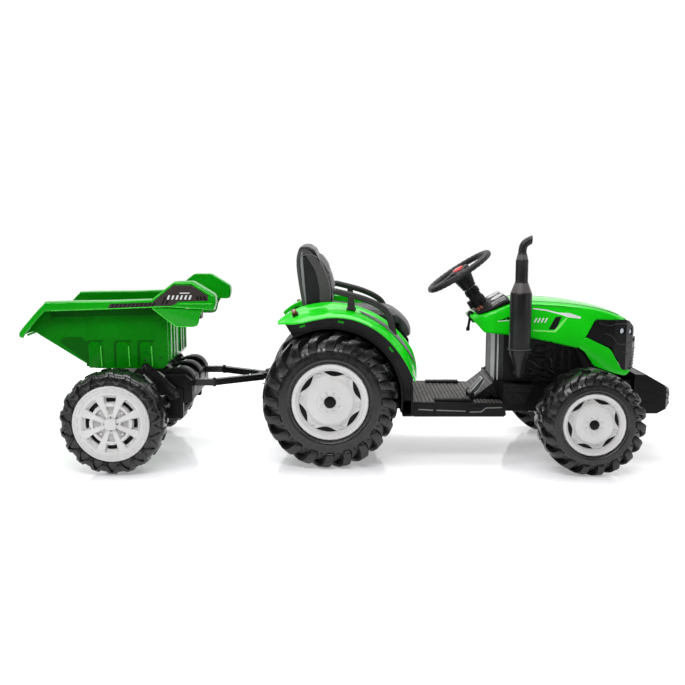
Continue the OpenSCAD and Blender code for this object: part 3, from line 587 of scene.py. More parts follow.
def rim_profile(r, lip, inner, k):
    """Profile of a tractor rim; k scales its details."""
    return [(r, inner), (r, lip - 8 * MM), (r - 0.5 * MM, lip - 2.5 * MM), (r - 3 * MM, lip),
            (0.895 * r, lip), (0.885 * r, lip - 1.2 * MM), (0.875 * r, lip - 4.5 * MM),
            (0.862 * r, lip - 5.5 * MM), (0.845 * r, lip - 5.5 * MM), (0.832 * r, lip - 7 * MM),
            (0.822 * r, lip - 13 * MM), (0.812 * r, lip - 16 * MM), (0.70 * r, lip - 15.5 * MM),
            (0.655 * r, lip - 15 * MM), (0.635 * r, lip - 13 * MM), (0.61 * r, lip - 6 * MM),
            (0.585 * r, lip - 3.4 * MM), (0.55 * r, lip - 2.2 * MM), (0.36 * r, lip - 1.6 * MM),
            (0.345 * r, lip - 3.2 * MM), (0.335 * r, lip - 3.4 * MM), (0.17 * r, lip - 3.2 * MM),
            (0.155 * r, lip - 4.0 * MM), (0.15 * r, lip - 10 * MM), (0.15 * r, lip - 20 * MM),
            (0.48 * r, lip - 20 * MM), (0.62 * r, lip - 20 * MM), (r - 22 * MM * k, lip - 21 * MM),
            (r - 8 * MM, inner)]


def add_tractor_wheel(end, name, side, centre, rim, top, half, lip, inner, lugs, phase, scale):
    body = f"{end}_wheel_{name[0]}"

    def to_place(shape):
        return moved(on_side(shape, side), (centre[0], side * centre[1], centre[2]))

    tyre = tractor_tyre_shape(rim + 0.0002, top, half, lugs, scale)
    piece(f"{end}_tyre_{body}", to_place(tyre), TYRE, (f"{end}_tyre_{name}",), 45, body)
    dish = piece(f"{end}_rim_{body}", to_place(lathe(rim_profile(rim, lip, inner, scale), 96, closed=True)),
                 WHITE, (f"{end}_rim_{name}",), 50, body)
    cut(dish, to_place(lens_cutter(0.775 * rim, 0.275 * rim, 0.105 * rim, 0.03 * rim, lip - 0.026,
                                   lip - 0.008, 6, phase)))
    # Black ring behind the crescent slots: painted shade seen through them
    shade = lathe([(0.40 * rim, lip - 0.0206), (rim - 0.0235 * scale, lip - 0.0212),
                   (rim - 0.0225 * scale, lip - 0.0235), (0.40 * rim, lip - 0.0235)], 64, closed=True)
    piece(f"{end}_rim_shade_{body}", to_place(shade), BLACK, body=body)
    studs = []
    for count, turn, ring, y, size, height in ((6, phase, 0.745, lip - 0.0152, 0.052, 0.0035),
                                               (8, 0.0, 0.25, lip - 0.0036, 0.034, 0.0042)):
        for k in range(count):
            studs.append(dome(*polar(ring * rim, turn + TAU * (k + 0.5) / count), y, size * rim, height))
    piece(f"{end}_rim_bolts_{body}", to_place(join(*studs)), WHITE, body=body)
    cap = lathe([(0, lip + 0.0016), (0.09 * rim, lip + 0.0013), (0.135 * rim, lip + 0.0004),
                 (0.149 * rim, lip - 0.002), (0.149 * rim, lip - 0.012), (0, lip - 0.012)], 32)
    piece(f"{end}_hub_cap_{body}", to_place(cap), BLACK, body=body)


# Trailer wheels: zigzag lugs over a rounded carcass, and a windowed hub cap
TRAILER_LUG = [(0.09, 0.900, 0.09, 0.78, -0.3, 4.5), (0.12, 0.960, 0.11, 0.80, 0.0, 6),
               (0.24, 0.995, 0.22, 0.82, 1.2, 6.5), (0.42, 1.000, 0.38, 0.84, 3.2, 7),
               (0.60, 0.975, 0.54, 0.80, 5.2, 7.5), (0.76, 0.905, 0.67, 0.73, 7.0, 8),
               (0.89, 0.790, 0.77, 0.62, 8.4, 9), (0.965, 0.600, 0.83, 0.48, 9.4, 10),
               (1.0, 0.320, 0.86, 0.28, 10.0, 10), (1.0, 0.03, 0.86, 0.02, 10.0, 10)]
TRAILER_CARCASS = [(0.0, 0.6), (0.0, 0.80), (0.03, 0.86), (0.06, 0.885), (0.09, 0.87), (0.24, 0.875),
                   (0.42, 0.875), (0.6, 0.84), (0.72, 0.77), (0.80, 0.67), (0.86, 0.52), (0.89, 0.3),
                   (0.90, 0.0)]


def mirrored_turn(path):
    return [(a, b, c, d, -turn, w) for a, b, c, d, turn, w in path]


def trailer_tyre_shape(bead, top, half):
    profile = [tyre_point(bead, top, half, r, w) for r, w in TRAILER_CARCASS]
    profile += [(r, -y) for r, y in profile[-2::-1]]
    shapes = [lathe(profile, 120)]
    count = 18
    for path in (TRAILER_LUG, mirrored_turn(TRAILER_LUG)):
        lug = lug_shape(bead, top, half, path, 0.8)
        for i in range(count):
            shapes.append(turned(lug, TAU * i / count))
            shapes.append(turned(mirrored(lug), TAU * (i + 0.5) / count))
    return join(*shapes)


def arc_block(r0, r1, half_angle, y0, y1, at, steps=6):
    outline = [(r1, half_angle * (2 * i / steps - 1)) for i in range(steps + 1)]
    outline += [(r0, half_angle * (1 - 2 * i / steps)) for i in range(steps + 1)]
    return prism([polar(r, at + a) for r, a in outline], y0, y1)


def add_trailer_wheel(name, side):
    body = "trailer_wheel_" + name[0]

    def to_place(shape):
        return moved(on_side(shape, side), (-0.718, side * 0.2665, 0.159))

    piece("trailer_tyre_" + body, to_place(trailer_tyre_shape(0.116, 0.1583, 0.0545)), TYRE,
          ("trailer_tyre_" + name,), 45, body)
    profile = [(115.8, -40), (115.8, 44), (115, 47), (112.5, 49), (109.5, 49), (108, 47), (98, 46.5),
               (95.5, 48), (90, 48), (87.5, 46), (84, 38), (81, 36), (20, 36), (0, 37), (0, 27), (70, 27),
               (88, 30), (100, 38), (108, 34), (108, -40)]
    rim = piece("trailer_rim_" + body, to_place(lathe(mm(profile), 96, closed=True)), WHITE,
                ("trailer_rim_" + name,), 40, body)
    windows = []
    ribs = [softened(lathe([(0.0535, 0.034), (0.0535, 0.0445), (0.0555, 0.0465), (0.0600, 0.0465),
                            (0.0622, 0.0445), (0.0622, 0.034)], 64, closed=True), 0.0008, 1, 60)]
    spoke = [(0.016, -0.0060), (0.058, -0.0085), (0.089, -0.0140), (0.089, 0.0140), (0.058, 0.0085),
             (0.016, 0.0060)]
    for k in range(8):
        c, s = polar(1, TAU * (k + 0.5) / 8)
        ribs.append(softened(prism([(u * c - v * s, u * s + v * c) for u, v in spoke], 0.034, 0.0475), 0.0028,
                             3))
    for k in range(8):
        at = TAU * k / 8
        if k % 2:
            windows.append(arc_block(0.0645, 0.0775, 0.315, 0.02, 0.06, at))
            ribs.append(dome(*polar(0.046, at), 0.0362, 0.0062, 0.005, 12))
        else:
            windows.append(arc_block(0.0655, 0.0785, 0.205, 0.02, 0.06, at))
            ribs.append(softened(arc_block(0.0535, 0.0640, 0.17, 0.034, 0.0475, at), 0.002, 2))
            ribs.append(softened(arc_block(0.022, 0.030, 0.36, 0.034, 0.0455, at), 0.002, 2))
    cut(rim, to_place(join(*windows)))
    # Black ring behind the windows: painted shade seen through them
    shade = lathe([(0.055, 0.0262), (0.086, 0.0272), (0.086, 0.0245), (0.055, 0.0245)], 64, closed=True)
    piece("trailer_rim_shade_" + body, to_place(shade), BLACK, body=body)
    for k in range(24):
        ribs.append(softened(arc_block(0.0995, 0.1055, 0.075, 0.044, 0.0490, TAU * (k + 0.5) / 24, 3), 0.0016,
                             2))
    boss = rounded([(-17, -17), (17, -17), (17, 17), (-17, 17)], 9, 5)
    ribs.append(softened(prism(boss, 0.03, 0.0535), 0.003, 3))
    piece("trailer_rim_ribs_" + body, to_place(join(*ribs)), WHITE, body=body)


def add_wheels():
    for name, side in SIDES:
        add_tractor_wheel("rear", name, side, (-0.068, 0.172, 0.210), rim=0.1178, top=0.2093, half=0.082,
                          lip=0.074, inner=-0.076, lugs=20, phase=math.radians(22.5), scale=1.0)
        add_tractor_wheel("front", name, side, (0.716, 0.266, 0.158), rim=0.0948, top=0.1573, half=0.066,
                          lip=0.058, inner=-0.052, lugs=18, phase=math.radians(12), scale=0.82)
        add_trailer_wheel(name, side)

# ---------------------------------------------------------------- seat

SEAT_STEPS = 20
SEAM_WIDTH = SEAM_DEPTH = 0.0045


def pad_shape(outline, half, crown):
    """A closed pad: the XZ outline swept over Y, pulled in towards its two ends."""
    centre = np.mean(np.asarray(outline), axis=0)
    rings = []
    for t in np.linspace(-1, 1, 15):
        pull = 1 - crown * abs(t) ** 6
        rings.append([(centre[0] + (x - centre[0]) * pull, t * half, centre[1] + (z - centre[1]) * pull)
                      for x, z in outline])
    return grid(rings, close_cols=True, caps=True)


def swell(obj, cap):
    """Remeshes the pad and blows it up as cloth, with no point moving more than the cap."""
    remesh = obj.modifiers.new("remesh", "REMESH")
    remesh.mode = "VOXEL"
    remesh.voxel_size = 0.005
    apply_modifiers(obj, 180)
    points = np.array([v.co[:] for v in obj.data.vertices])
    cloth = obj.modifiers.new("cloth", "CLOTH")
    cloth.settings.use_pressure = True
    cloth.settings.uniform_pressure_force = 4.0
    cloth.settings.quality = 5
    cloth.settings.effector_weights.gravity = 0
    cloth.point_cache.frame_start = 1
    cloth.point_cache.frame_end = SEAT_STEPS
    for f in range(1, SEAT_STEPS + 1):
        scene.frame_set(f)
    apply_modifiers(obj, 180)
    scene.frame_set(1)
    step = np.array([v.co[:] for v in obj.data.vertices]) - points
    length = np.linalg.norm(step, axis=1, keepdims=True)
    points = points + step * np.minimum(1, cap / np.maximum(length, 1e-9))
    return points


def sewn(points, seams, inward, reach):
    """Presses channels along the seams, each a function giving every point's distance to it."""
    out = points.copy()
    for distance in seams:
        out += inward(points) * (SEAM_DEPTH * np.exp(-(distance(points) / SEAM_WIDTH) ** 2))[:, None]
    out[:, 1] = np.clip(out[:, 1], -reach, reach)
    return out


def finish_pad(obj, points):
    obj.data.vertices.foreach_set("co", points.astype(np.float32).ravel())
    obj.data.update()
    sub = obj.modifiers.new("smooth", "SUBSURF")
    sub.levels = sub.render_levels = 1


def add_cushion():
    """The seat's cushion, with a front roll that hangs over the body."""
    outline = [(-94, 440), (100, 440), (140, 430), (166, 402), (174, 384), (186, 386), (186, 402), (176, 428),
               (158, 452), (132, 466), (60, 471), (0, 472), (-60, 478), (-94, 480)]
    path = smooth_path(mm(outline + outline[:1]), 64)[:-1]
    cushion = piece("seat_cushion_leather", pad_shape(path, 0.116, 0.10), LEATHER,
                    ("seat_cushion",), 180)
    seams = [lambda p, y=y: np.where((p[:, 2] > 0.455) | (p[:, 0] > 0.15), np.abs(p[:, 1] - y), 1.0)
             for y in (-0.074, 0.074)]
    seams += [lambda p, x=x: np.where(np.abs(p[:, 1]) < 0.074, np.abs(p[:, 0] - x), 1.0)
              for x in (0.045, -0.030)]

    def inward(p):
        centre = np.stack([np.clip(p[:, 0], -0.08, 0.12), p[:, 1], np.full(len(p), 0.452)], 1)
        away = p - centre
        away[:, 1] = 0
        return -away / np.maximum(np.linalg.norm(away, axis=1, keepdims=True), 1e-6)

    points = sewn(swell(cushion, 0.012), seams, inward, 0.1235)
    points[:, 2] = np.where(points[:, 0] < 0.148, np.maximum(points[:, 2], 0.4365), points[:, 2])
    finish_pad(cushion, points)


def add_back_pad():
    outline = [(-130, 490), (-148, 592), (-150, 634), (-141, 657), (-116, 652), (-94, 630), (-76, 600),
               (-64, 560), (-60, 530), (-66, 492)]
    path = smooth_path(mm(outline + outline[:1]), 56)[:-1]
    back = piece("seat_back_leather", pad_shape(path, 0.104, 0.07), LEATHER, ("seat_back_pad",),
                 180)
    seams = [lambda p, y=y: np.abs(p[:, 1] - y) for y in (-0.055, 0.055)]
    seams += [lambda p, z=z: np.where(np.abs(p[:, 1]) < 0.055, np.abs(p[:, 2] - z), 1.0)
              for z in (0.54, 0.60)]

    def rearward(p):
        front = (p[:, 0] > -0.125).astype(float)
        return np.stack([-front, 0 * front, -0.2 * front], 1)

    finish_pad(back, sewn(swell(back, 0.010), seams, rearward, 0.1085))


def add_seat_shell():
    """Moulded shell: rear face, sides and a broad bolster along the front edge, under a leather head wrap."""
    outer = smooth_path([(-146, 437), (-152, 484), (-168, 587), (-171, 634), (-166, 660), (-158, 668),
                         (-138, 668), (-118, 652), (-91, 617), (-73, 572), (-67, 539), (-68, 500),
                         (-72, 488)], 60) * MM
    inner = smooth_path([(-140, 437), (-144, 484), (-160, 587), (-164, 630), (-160, 656), (-154, 660),
                         (-146, 652), (-131, 629), (-116, 603), (-107, 572), (-102, 539), (-101, 504),
                         (-101, 488)], 60) * MM
    rows = [row_at(outer, 0.104), row_at(outer, 0.118), row_at(outer, 0.1235, -0.002),
            row_at(0.5 * (outer + inner), 0.1245), row_at(inner, 0.1225), row_at(inner, 0.116),
            row_at(inner, 0.104)]
    piece("seat_bolsters", both_sides(grid(rows, close_rows=True)), BOLSTER, (), 60)
    # Pale bead down each rear corner of the shell, its grey a painted highlight on the rounded edge
    bead = smooth_path([(-0.156, 0.1195, 0.664), (-0.157, 0.1200, 0.630), (-0.153, 0.1200, 0.579),
                        (-0.147, 0.1200, 0.500), (-0.142, 0.1200, 0.438)], 24)
    piece("seat_side_painted_highlights", both_sides(tube(bead, 0.0046, 14, 0.5)), BEAD_PAINTED_HIGHLIGHT, (), 60)
    panel = rounded([(-149, 437), (-154, 484), (-170, 587), (-172, 634), (-166, 668), (-156, 676),
                     (-126, 672), (-122, 650), (-100, 612), (-92, 570), (-90, 520), (-92, 437)], 8)
    piece("seat_side_panels", both_sides(softened(prism(panel, 0.1175, 0.1205), 0.001)), SEAT_DARK)
    spine = smooth_path([(-147, 437), (-153, 484), (-169, 587), (-172, 634), (-166, 667), (-156, 675),
                         (-128, 672), (-116, 655), (-122, 650), (-144, 664)], 40) * MM
    rows = [row_at(spine, y) for y in np.linspace(-0.119, 0.119, 9)]
    rows += [row_at(spine, y, 0.006, -0.003) for y in np.linspace(0.119, -0.119, 9)]
    piece("seat_back_spine", grid(rows, close_rows=True), SEAT_PLASTIC,
          ("seat_back_shell",), 50)
    wrap = smooth_path([(-170, 645), (-168.5, 663), (-162, 675), (-148, 680), (-131, 678), (-118, 666),
                        (-107, 651), (-101, 638)], 28) * MM
    rows = [row_at(wrap, y, 0, -0.004 * (abs(y) / 0.122) ** 4) for y in np.linspace(-0.122, 0.122, 25)]
    under = [r * (1, 0.985, 1) + (0.003, 0, -0.008) for r in rows[::-1]]
    piece("seat_head_wrap", grid(rows + under, close_rows=True), LEATHER, (), 50)
    seam = smooth_path([(-0.1685, -0.1225, 0.6445), (-0.150, -0.1235, 0.650), (-0.125, -0.1235, 0.652),
                        (-0.103, -0.1225, 0.640)], 20)
    piece("seat_wrap_seams", both_sides(tube(seam, 0.0014, 6)), THREAD)


def add_seat():
    add_cushion()
    add_back_pad()
    add_seat_shell()


# ---------------------------------------------------------------- fenders and armrests

AXLE = (-0.068, 0.210)
# The lip's radius in mm at each angle round the axle, foot first
FENDER_EDGE = [(12, 267), (20, 262), (35, 258), (55, 258.5), (75, 258.5), (90, 255.5), (100, 252.5),
               (110, 254), (117, 262), (125, 281)]


def on_arch(deg, pairs):
    """(radius, y) points on the plane through the rear axle at an angle."""
    a = math.radians(deg)
    return [(AXLE[0] + r * math.cos(a), y, AXLE[1] + r * math.sin(a)) for r, y in pairs]


def fender_section(deg, out_r):
    """The skin's section at an angle, and the liner's: the skirt narrows at the tail and at the foot."""
    tail = max(0.0, (deg - 104) / 21)
    foot = max(0.0, (30 - deg) / 18)
    out_y = 0.2135 - 0.045 * tail ** 2 - 0.016 * foot
    crown = 0.2955 - 0.008 * tail ** 2 - 0.0175 * foot ** 1.3
    crease_y = 0.160 - 0.01 * tail
    crease_r = out_r + (crown - out_r) * 0.70
    root = 0.226 + (crown - 0.2385) * min(1.0, max(0.0, (deg - 98) / 16))
    skin = [(root, 0.1275), (crown - 0.012, 0.1275), (crown - 0.003, 0.129), (crown, 0.133), (crown, 0.139),
            (crown - 0.002, 0.144), (crease_r, crease_y), (crease_r - 0.002, crease_y + 0.002),
            ((crease_r + out_r) / 2 + 0.0015, (crease_y + out_y) / 2 + 0.001),
            (out_r + 0.003, out_y - 0.0015), (out_r + 0.001, out_y + 0.0003), (out_r - 0.0015, out_y),
            (out_r - 0.002, out_y - 0.003), (out_r - 0.001, out_y - 0.005), (crown - 0.006, 0.139),
            (crown - 0.006, 0.131), (root, 0.1305)]
    lip, reach = out_r - 0.002, out_y - 0.004
    liner = [(0.2255, reach - 0.010), (0.2255, reach - 0.006), (lip - 0.006, reach - 0.004),
             (lip, reach - 0.0015), (lip, reach - 0.006)]
    return skin, liner


def add_fenders():
    """Each is a swept skirt: inner wall, crown, crease and slope, over a black arch liner."""
    edge = smooth_path(FENDER_EDGE, 80)
    foot = [(0.2255, 0.1835), (0.2255, 0.1875), (0.250, 0.190), (0.2535, 0.1925), (0.2535, 0.187)]
    skin, liner = [], [on_arch(deg, foot) for deg in (-1.5, 3.0, 7.5)]
    for i in range(57):
        deg = 12 + 113 * (i / 56)
        skin_row, liner_row = fender_section(deg, float(np.interp(deg, edge[:, 0], edge[:, 1])) * MM)
        skin.append(on_arch(deg, skin_row))
        if 14 < deg < 121:
            liner.append(on_arch(deg, liner_row))
    stripe = []
    for i in range(25):
        w = math.sin(math.pi * i / 24) ** 0.5
        stripe.append(np.array(on_arch(22 + 50 * i / 24, [(0.2868, 0.1625),
                                                          (0.2868 - 0.0075 * w, 0.1625 + 0.0142 * w)])))
    stripe += [r - (0, 0, 0.0022) for r in stripe[::-1]]
    clips = []
    for deg in (38, 80, 108):
        c, s = polar(1, math.radians(deg))
        p = (AXLE[0] + 0.244 * c, 0.2065, AXLE[1] + 0.244 * s)
        clips.append(softened(bar(p, (p[0] - 0.018 * s, p[1], p[2] + 0.018 * c), 0.004, 0.007, (c, 0, s)),
                              0.001))
    for name, side in SIDES:
        piece("fender_skin_" + name, on_side(grid(skin, close_cols=True, caps=True), side), GREEN,
              ("fender_" + name,), 28)
        piece("fender_liner_" + name, on_side(grid(liner, close_cols=True, caps=True), side), BLACK)
        piece("fender_stripe_" + name, on_side(grid(stripe, close_rows=True), side), STRIPE_AND_HIGHLIGHT_GREY)
        piece("fender_clips_" + name, on_side(join(*clips), side), GREEN_DARK_AND_PAINTED_SHADE)


def add_armrests():
    y = 0.164
    rail = smooth_path([(-60, 540), (-52, 541), (-30, 536), (-2, 529), (30, 520), (61, 508), (84, 496),
                        (101, 483), (112, 466), (119, 446), (125, 424), (129, 406)], 40) * MM
    post = smooth_path([(-0.004, y, 0.529), (-0.0035, y, 0.505), (-0.003, y, 0.488)], 8)
    shape = join(tube([(x, y, z) for x, z in rail], 0.0098, 16, 0.82),
                 tube(post, np.linspace(0.009, 0.0125, 8), 12, 0.8),
                 softened(block((-0.0175, y - 0.011, 0.484), (0.0115, y + 0.011, 0.4925)), 0.003))
    for name, side in SIDES:
        piece("armrest_rail_" + name, on_side(shape, side), GREY, ("armrest_" + name,),
              50)

# ---------------------------------------------------------------- hood, mask, engine

def line(points):
    """A function through (x, z) points."""
    xs, zs = zip(*points)
    return lambda x: float(np.interp(x, xs, zs))


HOOD_TOP = line([(379, 455), (400, 466), (495, 506), (540, 509.5), (587, 509.5), (650, 506), (707, 500),
                 (745, 494), (776, 487.5), (812, 478), (845, 466), (857, 456)])
HOOD_FOOT = line([(379, 454), (414, 413), (484, 407), (554, 398), (638, 380), (700, 366), (706, 366),
                  (727, 396), (757, 447), (762, 449), (857, 450)])


def hood_side(z):
    """Half width of the hood's side at a height, in mm."""
    return 147.5 - 0.30 * max(0.0, z - 402) - 1.2 * math.exp(-((z - 402) / 14) ** 2)


def hood_taper(x):
    """The rear of the hood draws in towards the dash."""
    return float(np.interp(x, [379, 386, 398, 414, 440], [0.40, 0.56, 0.76, 0.92, 1.0]))


def decal(lift, outline):
    """A film on each side of the hood, standing out by lift mm."""
    outer = [(x, hood_side(z) + lift, z) for x, z in outline]
    inner = [(x, hood_side(z) - 1.5, z) for x, z in outline]
    return both_sides(grid([mm(outer), mm(inner)], close_cols=True, caps=True))


def add_hood():
    xs = sorted(set(list(np.linspace(379, 857, 64)) + [414, 706, 716, 727, 757, 762]))
    rows = []
    for x in xs:
        top, foot = HOOD_TOP(x), HOOD_FOOT(x)
        nose = max(0.0, (x - 800) / 57)
        shoulder = max(top - 17 - 4 * nose, foot + 0.5)
        narrow = (1 - 0.06 * nose ** 2) * hood_taper(x)
        half = []
        for k in range(9):
            z = foot + (shoulder - foot) * k / 8
            half.append((hood_side(z) * narrow, z))
        ys = half[-1][0]
        for f, lift in ((0.985, 0.25), (0.955, 0.42), (0.90, 0.56), (0.885, 0.50), (0.80, 0.66), (0.6, 0.84),
                        (0.3, 0.96), (0.0, 1.0)):
            half.append((ys * f, shoulder + (top - shoulder) * lift))
        rows.append(np.array([(x, y, z) for y, z in half] + [(x, -y, z) for y, z in half[-2::-1]]) * MM)
    inner = [r * (1, 0.975, 1) - (0, 0, 0.0035) for r in rows[::-1]]
    piece("hood_skin", grid(rows + inner, close_rows=True), GREEN, ("hood",), 26)

    # Arm on each side that runs down round the mask
    arm = rounded([(703, 366), (727, 350), (757, 306), (826, 281), (857, 274.5), (874, 294), (846, 291),
                   (806, 360), (728, 397)], 9, 4)
    piece("hood_arms", both_sides(softened(prism(arm, 0.1385, 0.1475), 0.0028, 3)), GREEN)

    # Graphics without lettering: stripes that follow the side
    piece("hood_stripe_silver", decal(0.5, [(566, 486), (608, 480.7), (644, 472), (680, 470), (715, 458.5),
                                            (713, 453), (675, 457), (653, 465), (608, 476.5), (566, 482)]),
          SILVER)
    piece("hood_flash", decal(0.5, [(635, 458), (655, 460), (639, 426), (630, 420), (613, 421)]), BLACK)
    # Light green strip under the flash: a painted highlight on a raised edge
    piece("hood_flash_edge", decal(0.7, [(563, 419.5), (628, 416.5), (640, 429), (668, 456), (674, 456),
                                         (648, 425), (634, 411.5), (563, 415)]), HIGHLIGHT)
    marks = [decal(0.55, [(x, 441), (x + 5, 441), (x + 13, 455), (x + 8, 455)]) for x in (566, 577, 588, 599)]
    marks.append(decal(0.5, [(454, 444.5), (500, 447), (500, 449), (456, 446.5)]))
    piece("hood_marks", join(*marks), SILVER)
    piece("hood_swoosh", decal(0.45, [(458, 447.5), (478, 449.2), (481, 455), (486, 450), (500, 450.5),
                                      (500, 453), (486, 459), (474, 453)]), BLACK)
    # Crease grooves along the top, as thin darker green tubes: painted shade in the grooves
    lines = []
    for y, drop, x0, x1 in ((104, 5.0, 505, 842), (122.5, 15.5, 520, 800)):
        path = [(x, y * (1 - 0.05 * max(0, (x - 800) / 57) ** 2), HOOD_TOP(x) - drop)
                for x in np.linspace(x0, x1, 30)]
        lines.append(tube(mm(path), 0.0009, 6))
    piece("hood_creases", both_sides(*lines), GREEN_DARK_AND_PAINTED_SHADE)


MASK_SIDE = [(268, 892), (284, 898), (299, 905), (339, 910), (361, 918), (373, 913), (386, 892), (398, 900),
             (418, 900), (444, 873)]
MASK_PLAN = [(0, 921), (48, 914), (92, 892), (124, 862), (140, 820)]


def mask_front(y, z):
    """How far forward the mask's face is."""
    return min(np.interp(z / MM, *zip(*MASK_SIDE)), np.interp(abs(y) / MM, *zip(*MASK_PLAN))) * MM


def add_mask():
    """Brow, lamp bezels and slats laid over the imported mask."""
    paint(["grille_mask"], MASK, 0.003, 2, 25)
    slats = []
    for k in range(7):
        z, reach = 0.292 + 0.0095 * k, 0.104 - 0.004 * k
        slats.append(tube([(mask_front(y, z) + 0.0004, y, z) for y in np.linspace(-reach, reach, 31)], 0.0021,
                          8))
    piece("grille_slats", join(*slats), BLACK)
    under_lamps = [(787, 140.5, 407.5), (810, 140.5, 400), (826, 138.5, 380), (838, 134.2, 373),
                   (870, 116.5, 371.5), (897, 83, 374), (912.5, 48, 375.5), (913.5, 0, 375.5)]
    over_lamps = [(770, 140.5, 440), (800, 140.5, 432), (826, 138.5, 437), (862, 125, 436), (880, 104, 432)]
    low = [(845, 131.5, 352), (868, 118, 340), (886, 99, 335)]
    ridges = [tube(smooth_path(mm(path), 30), r, 8)
              for path, r in ((under_lamps, 0.0021), (over_lamps, 0.0018), (low, 0.0016))]
    # the bright knuckle under the lamps
    ridges.append(softened(bar((0.897, 0.080, 0.381), (0.9125, 0.040, 0.3825), 0.010, 0.008), 0.003, 3))
    piece("mask_ridges", both_sides(*ridges), GREY)


def add_hood_liner():
    """Dark walls inside the hood, behind the gap between the engine and the lower fascia."""
    outline = [(690, 296), (752, 296), (792, 298), (802, 330), (772, 380), (762, 420), (700, 420), (690, 390)]
    piece("hood_liner", both_sides(softened(prism(mm(outline), 0.1290, 0.1315), 0.0008, 1)), BLACK_GRAIN)


def add_headlights():
    lens = lathe([(0, 0.0108), (0.004, 0.0104), (0.008, 0.0085), (0.0105, 0.005), (0.0105, 0.0)], 28)
    ring = lathe([(0.0108, -0.001), (0.0108, 0.0115), (0.0122, 0.0125), (0.0138, 0.0115), (0.0142, 0.008),
                  (0.0142, -0.001)], 28)
    lenses, rings = [], []
    for x, y, z, yaw in ((0.8425, 0.1185, 0.414, 62), (0.8740, 0.0935, 0.409, 46)):
        m = place_at((x, y, z), yaw - 90, "Z")
        lenses.append(placed(lens, m))
        rings.append(placed(ring, m))
    piece("lamp_lenses", both_sides(*lenses), LAMP, ("headlights",))
    piece("lamp_bezels", both_sides(*rings), BLACK)


def add_engine():
    """Detail moulded on the engine's sides: louvres, pipes, covers and screws."""
    paint(["engine_block"], BLACK_GRAIN, 0.003)
    y = 0.1385
    shapes = []
    for k in range(12):
        z = 0.292 + 0.0072 * k
        shapes.append(softened(block((0.640 + 0.0012 * k, y, z),
                                     (0.722 - max(0, z - 0.30) * 0.42, y + 0.004, z + 0.0038)), 0.0010, 1))
    outer = np.array([(632, 284), (726, 284), (726, 302), (698, 382), (645, 382)]) * MM
    inner = np.array([(637, 289), (721, 289), (721, 301), (694, 377), (649, 377)]) * MM
    rows = [row_at(outer, y - 0.001), row_at(outer, y + 0.0045), row_at(inner, y + 0.0045),
            row_at(inner, y - 0.001)]
    shapes.append(grid(rows, close_rows=True, close_cols=True))
    for r, path in ((0.0042, [(548, 372), (552, 352), (572, 340), (600, 338), (622, 326), (626, 300)]),
                    (0.0036, [(540, 330), (562, 322), (585, 302), (612, 296), (634, 282)]),
                    (0.0032, [(556, 300), (575, 288), (600, 276), (630, 272)])):
        shapes.append(tube(smooth_path([(x, y + 0.004, z) for x, z in mm(path)], 24), r, 8))
    for x, z, w, h in ((0.575, 0.350, 0.030, 0.020), (0.606, 0.356, 0.020, 0.026),
                       (0.556, 0.277, 0.060, 0.012), (0.588, 0.318, 0.028, 0.014),
                       (0.520, 0.346, 0.022, 0.030)):
        shapes.append(softened(block((x, y, z), (x + w, y + 0.007, z + h)), 0.002, 2))
    for x, z in ((0.583, 0.360), (0.597, 0.360), (0.616, 0.376), (0.616, 0.362), (0.565, 0.283),
                 (0.608, 0.283), (0.660, 0.273), (0.700, 0.273), (0.530, 0.358), (0.530, 0.370)):
        shapes.append(dome(x, z, y + 0.006, 0.0042, 0.003, 8))
    for z in (0.262, 0.2685):
        shapes.append(softened(block((0.545, y, z), (0.724, y + 0.003, z + 0.003)), 0.0008, 1))
    piece("engine_detail", both_sides(*shapes), BLACK)

    # Cowl: pale strips down its rear, on the faces that narrow towards the tail
    strips = []
    for (x0, y0), (x1, y1), low, high in (((0.4500, 0.050), (0.4572, 0.079), 0.248, 0.408),
                                          ((0.4622, 0.0975), (0.4648, 0.1055), 0.252, 0.406)):
        face = np.array([(x0, y0, low), (x1, y1, low), (x1, y1, high), (x0, y0, high)])
        strips.append(grid([face - (0.0011, 0, 0), face + (0.0003, 0, 0)], close_cols=True, caps=True))
    piece("cowl_strips", both_sides(*strips), LIGHT_GREY)


# ---------------------------------------------------------------- exhaust stack

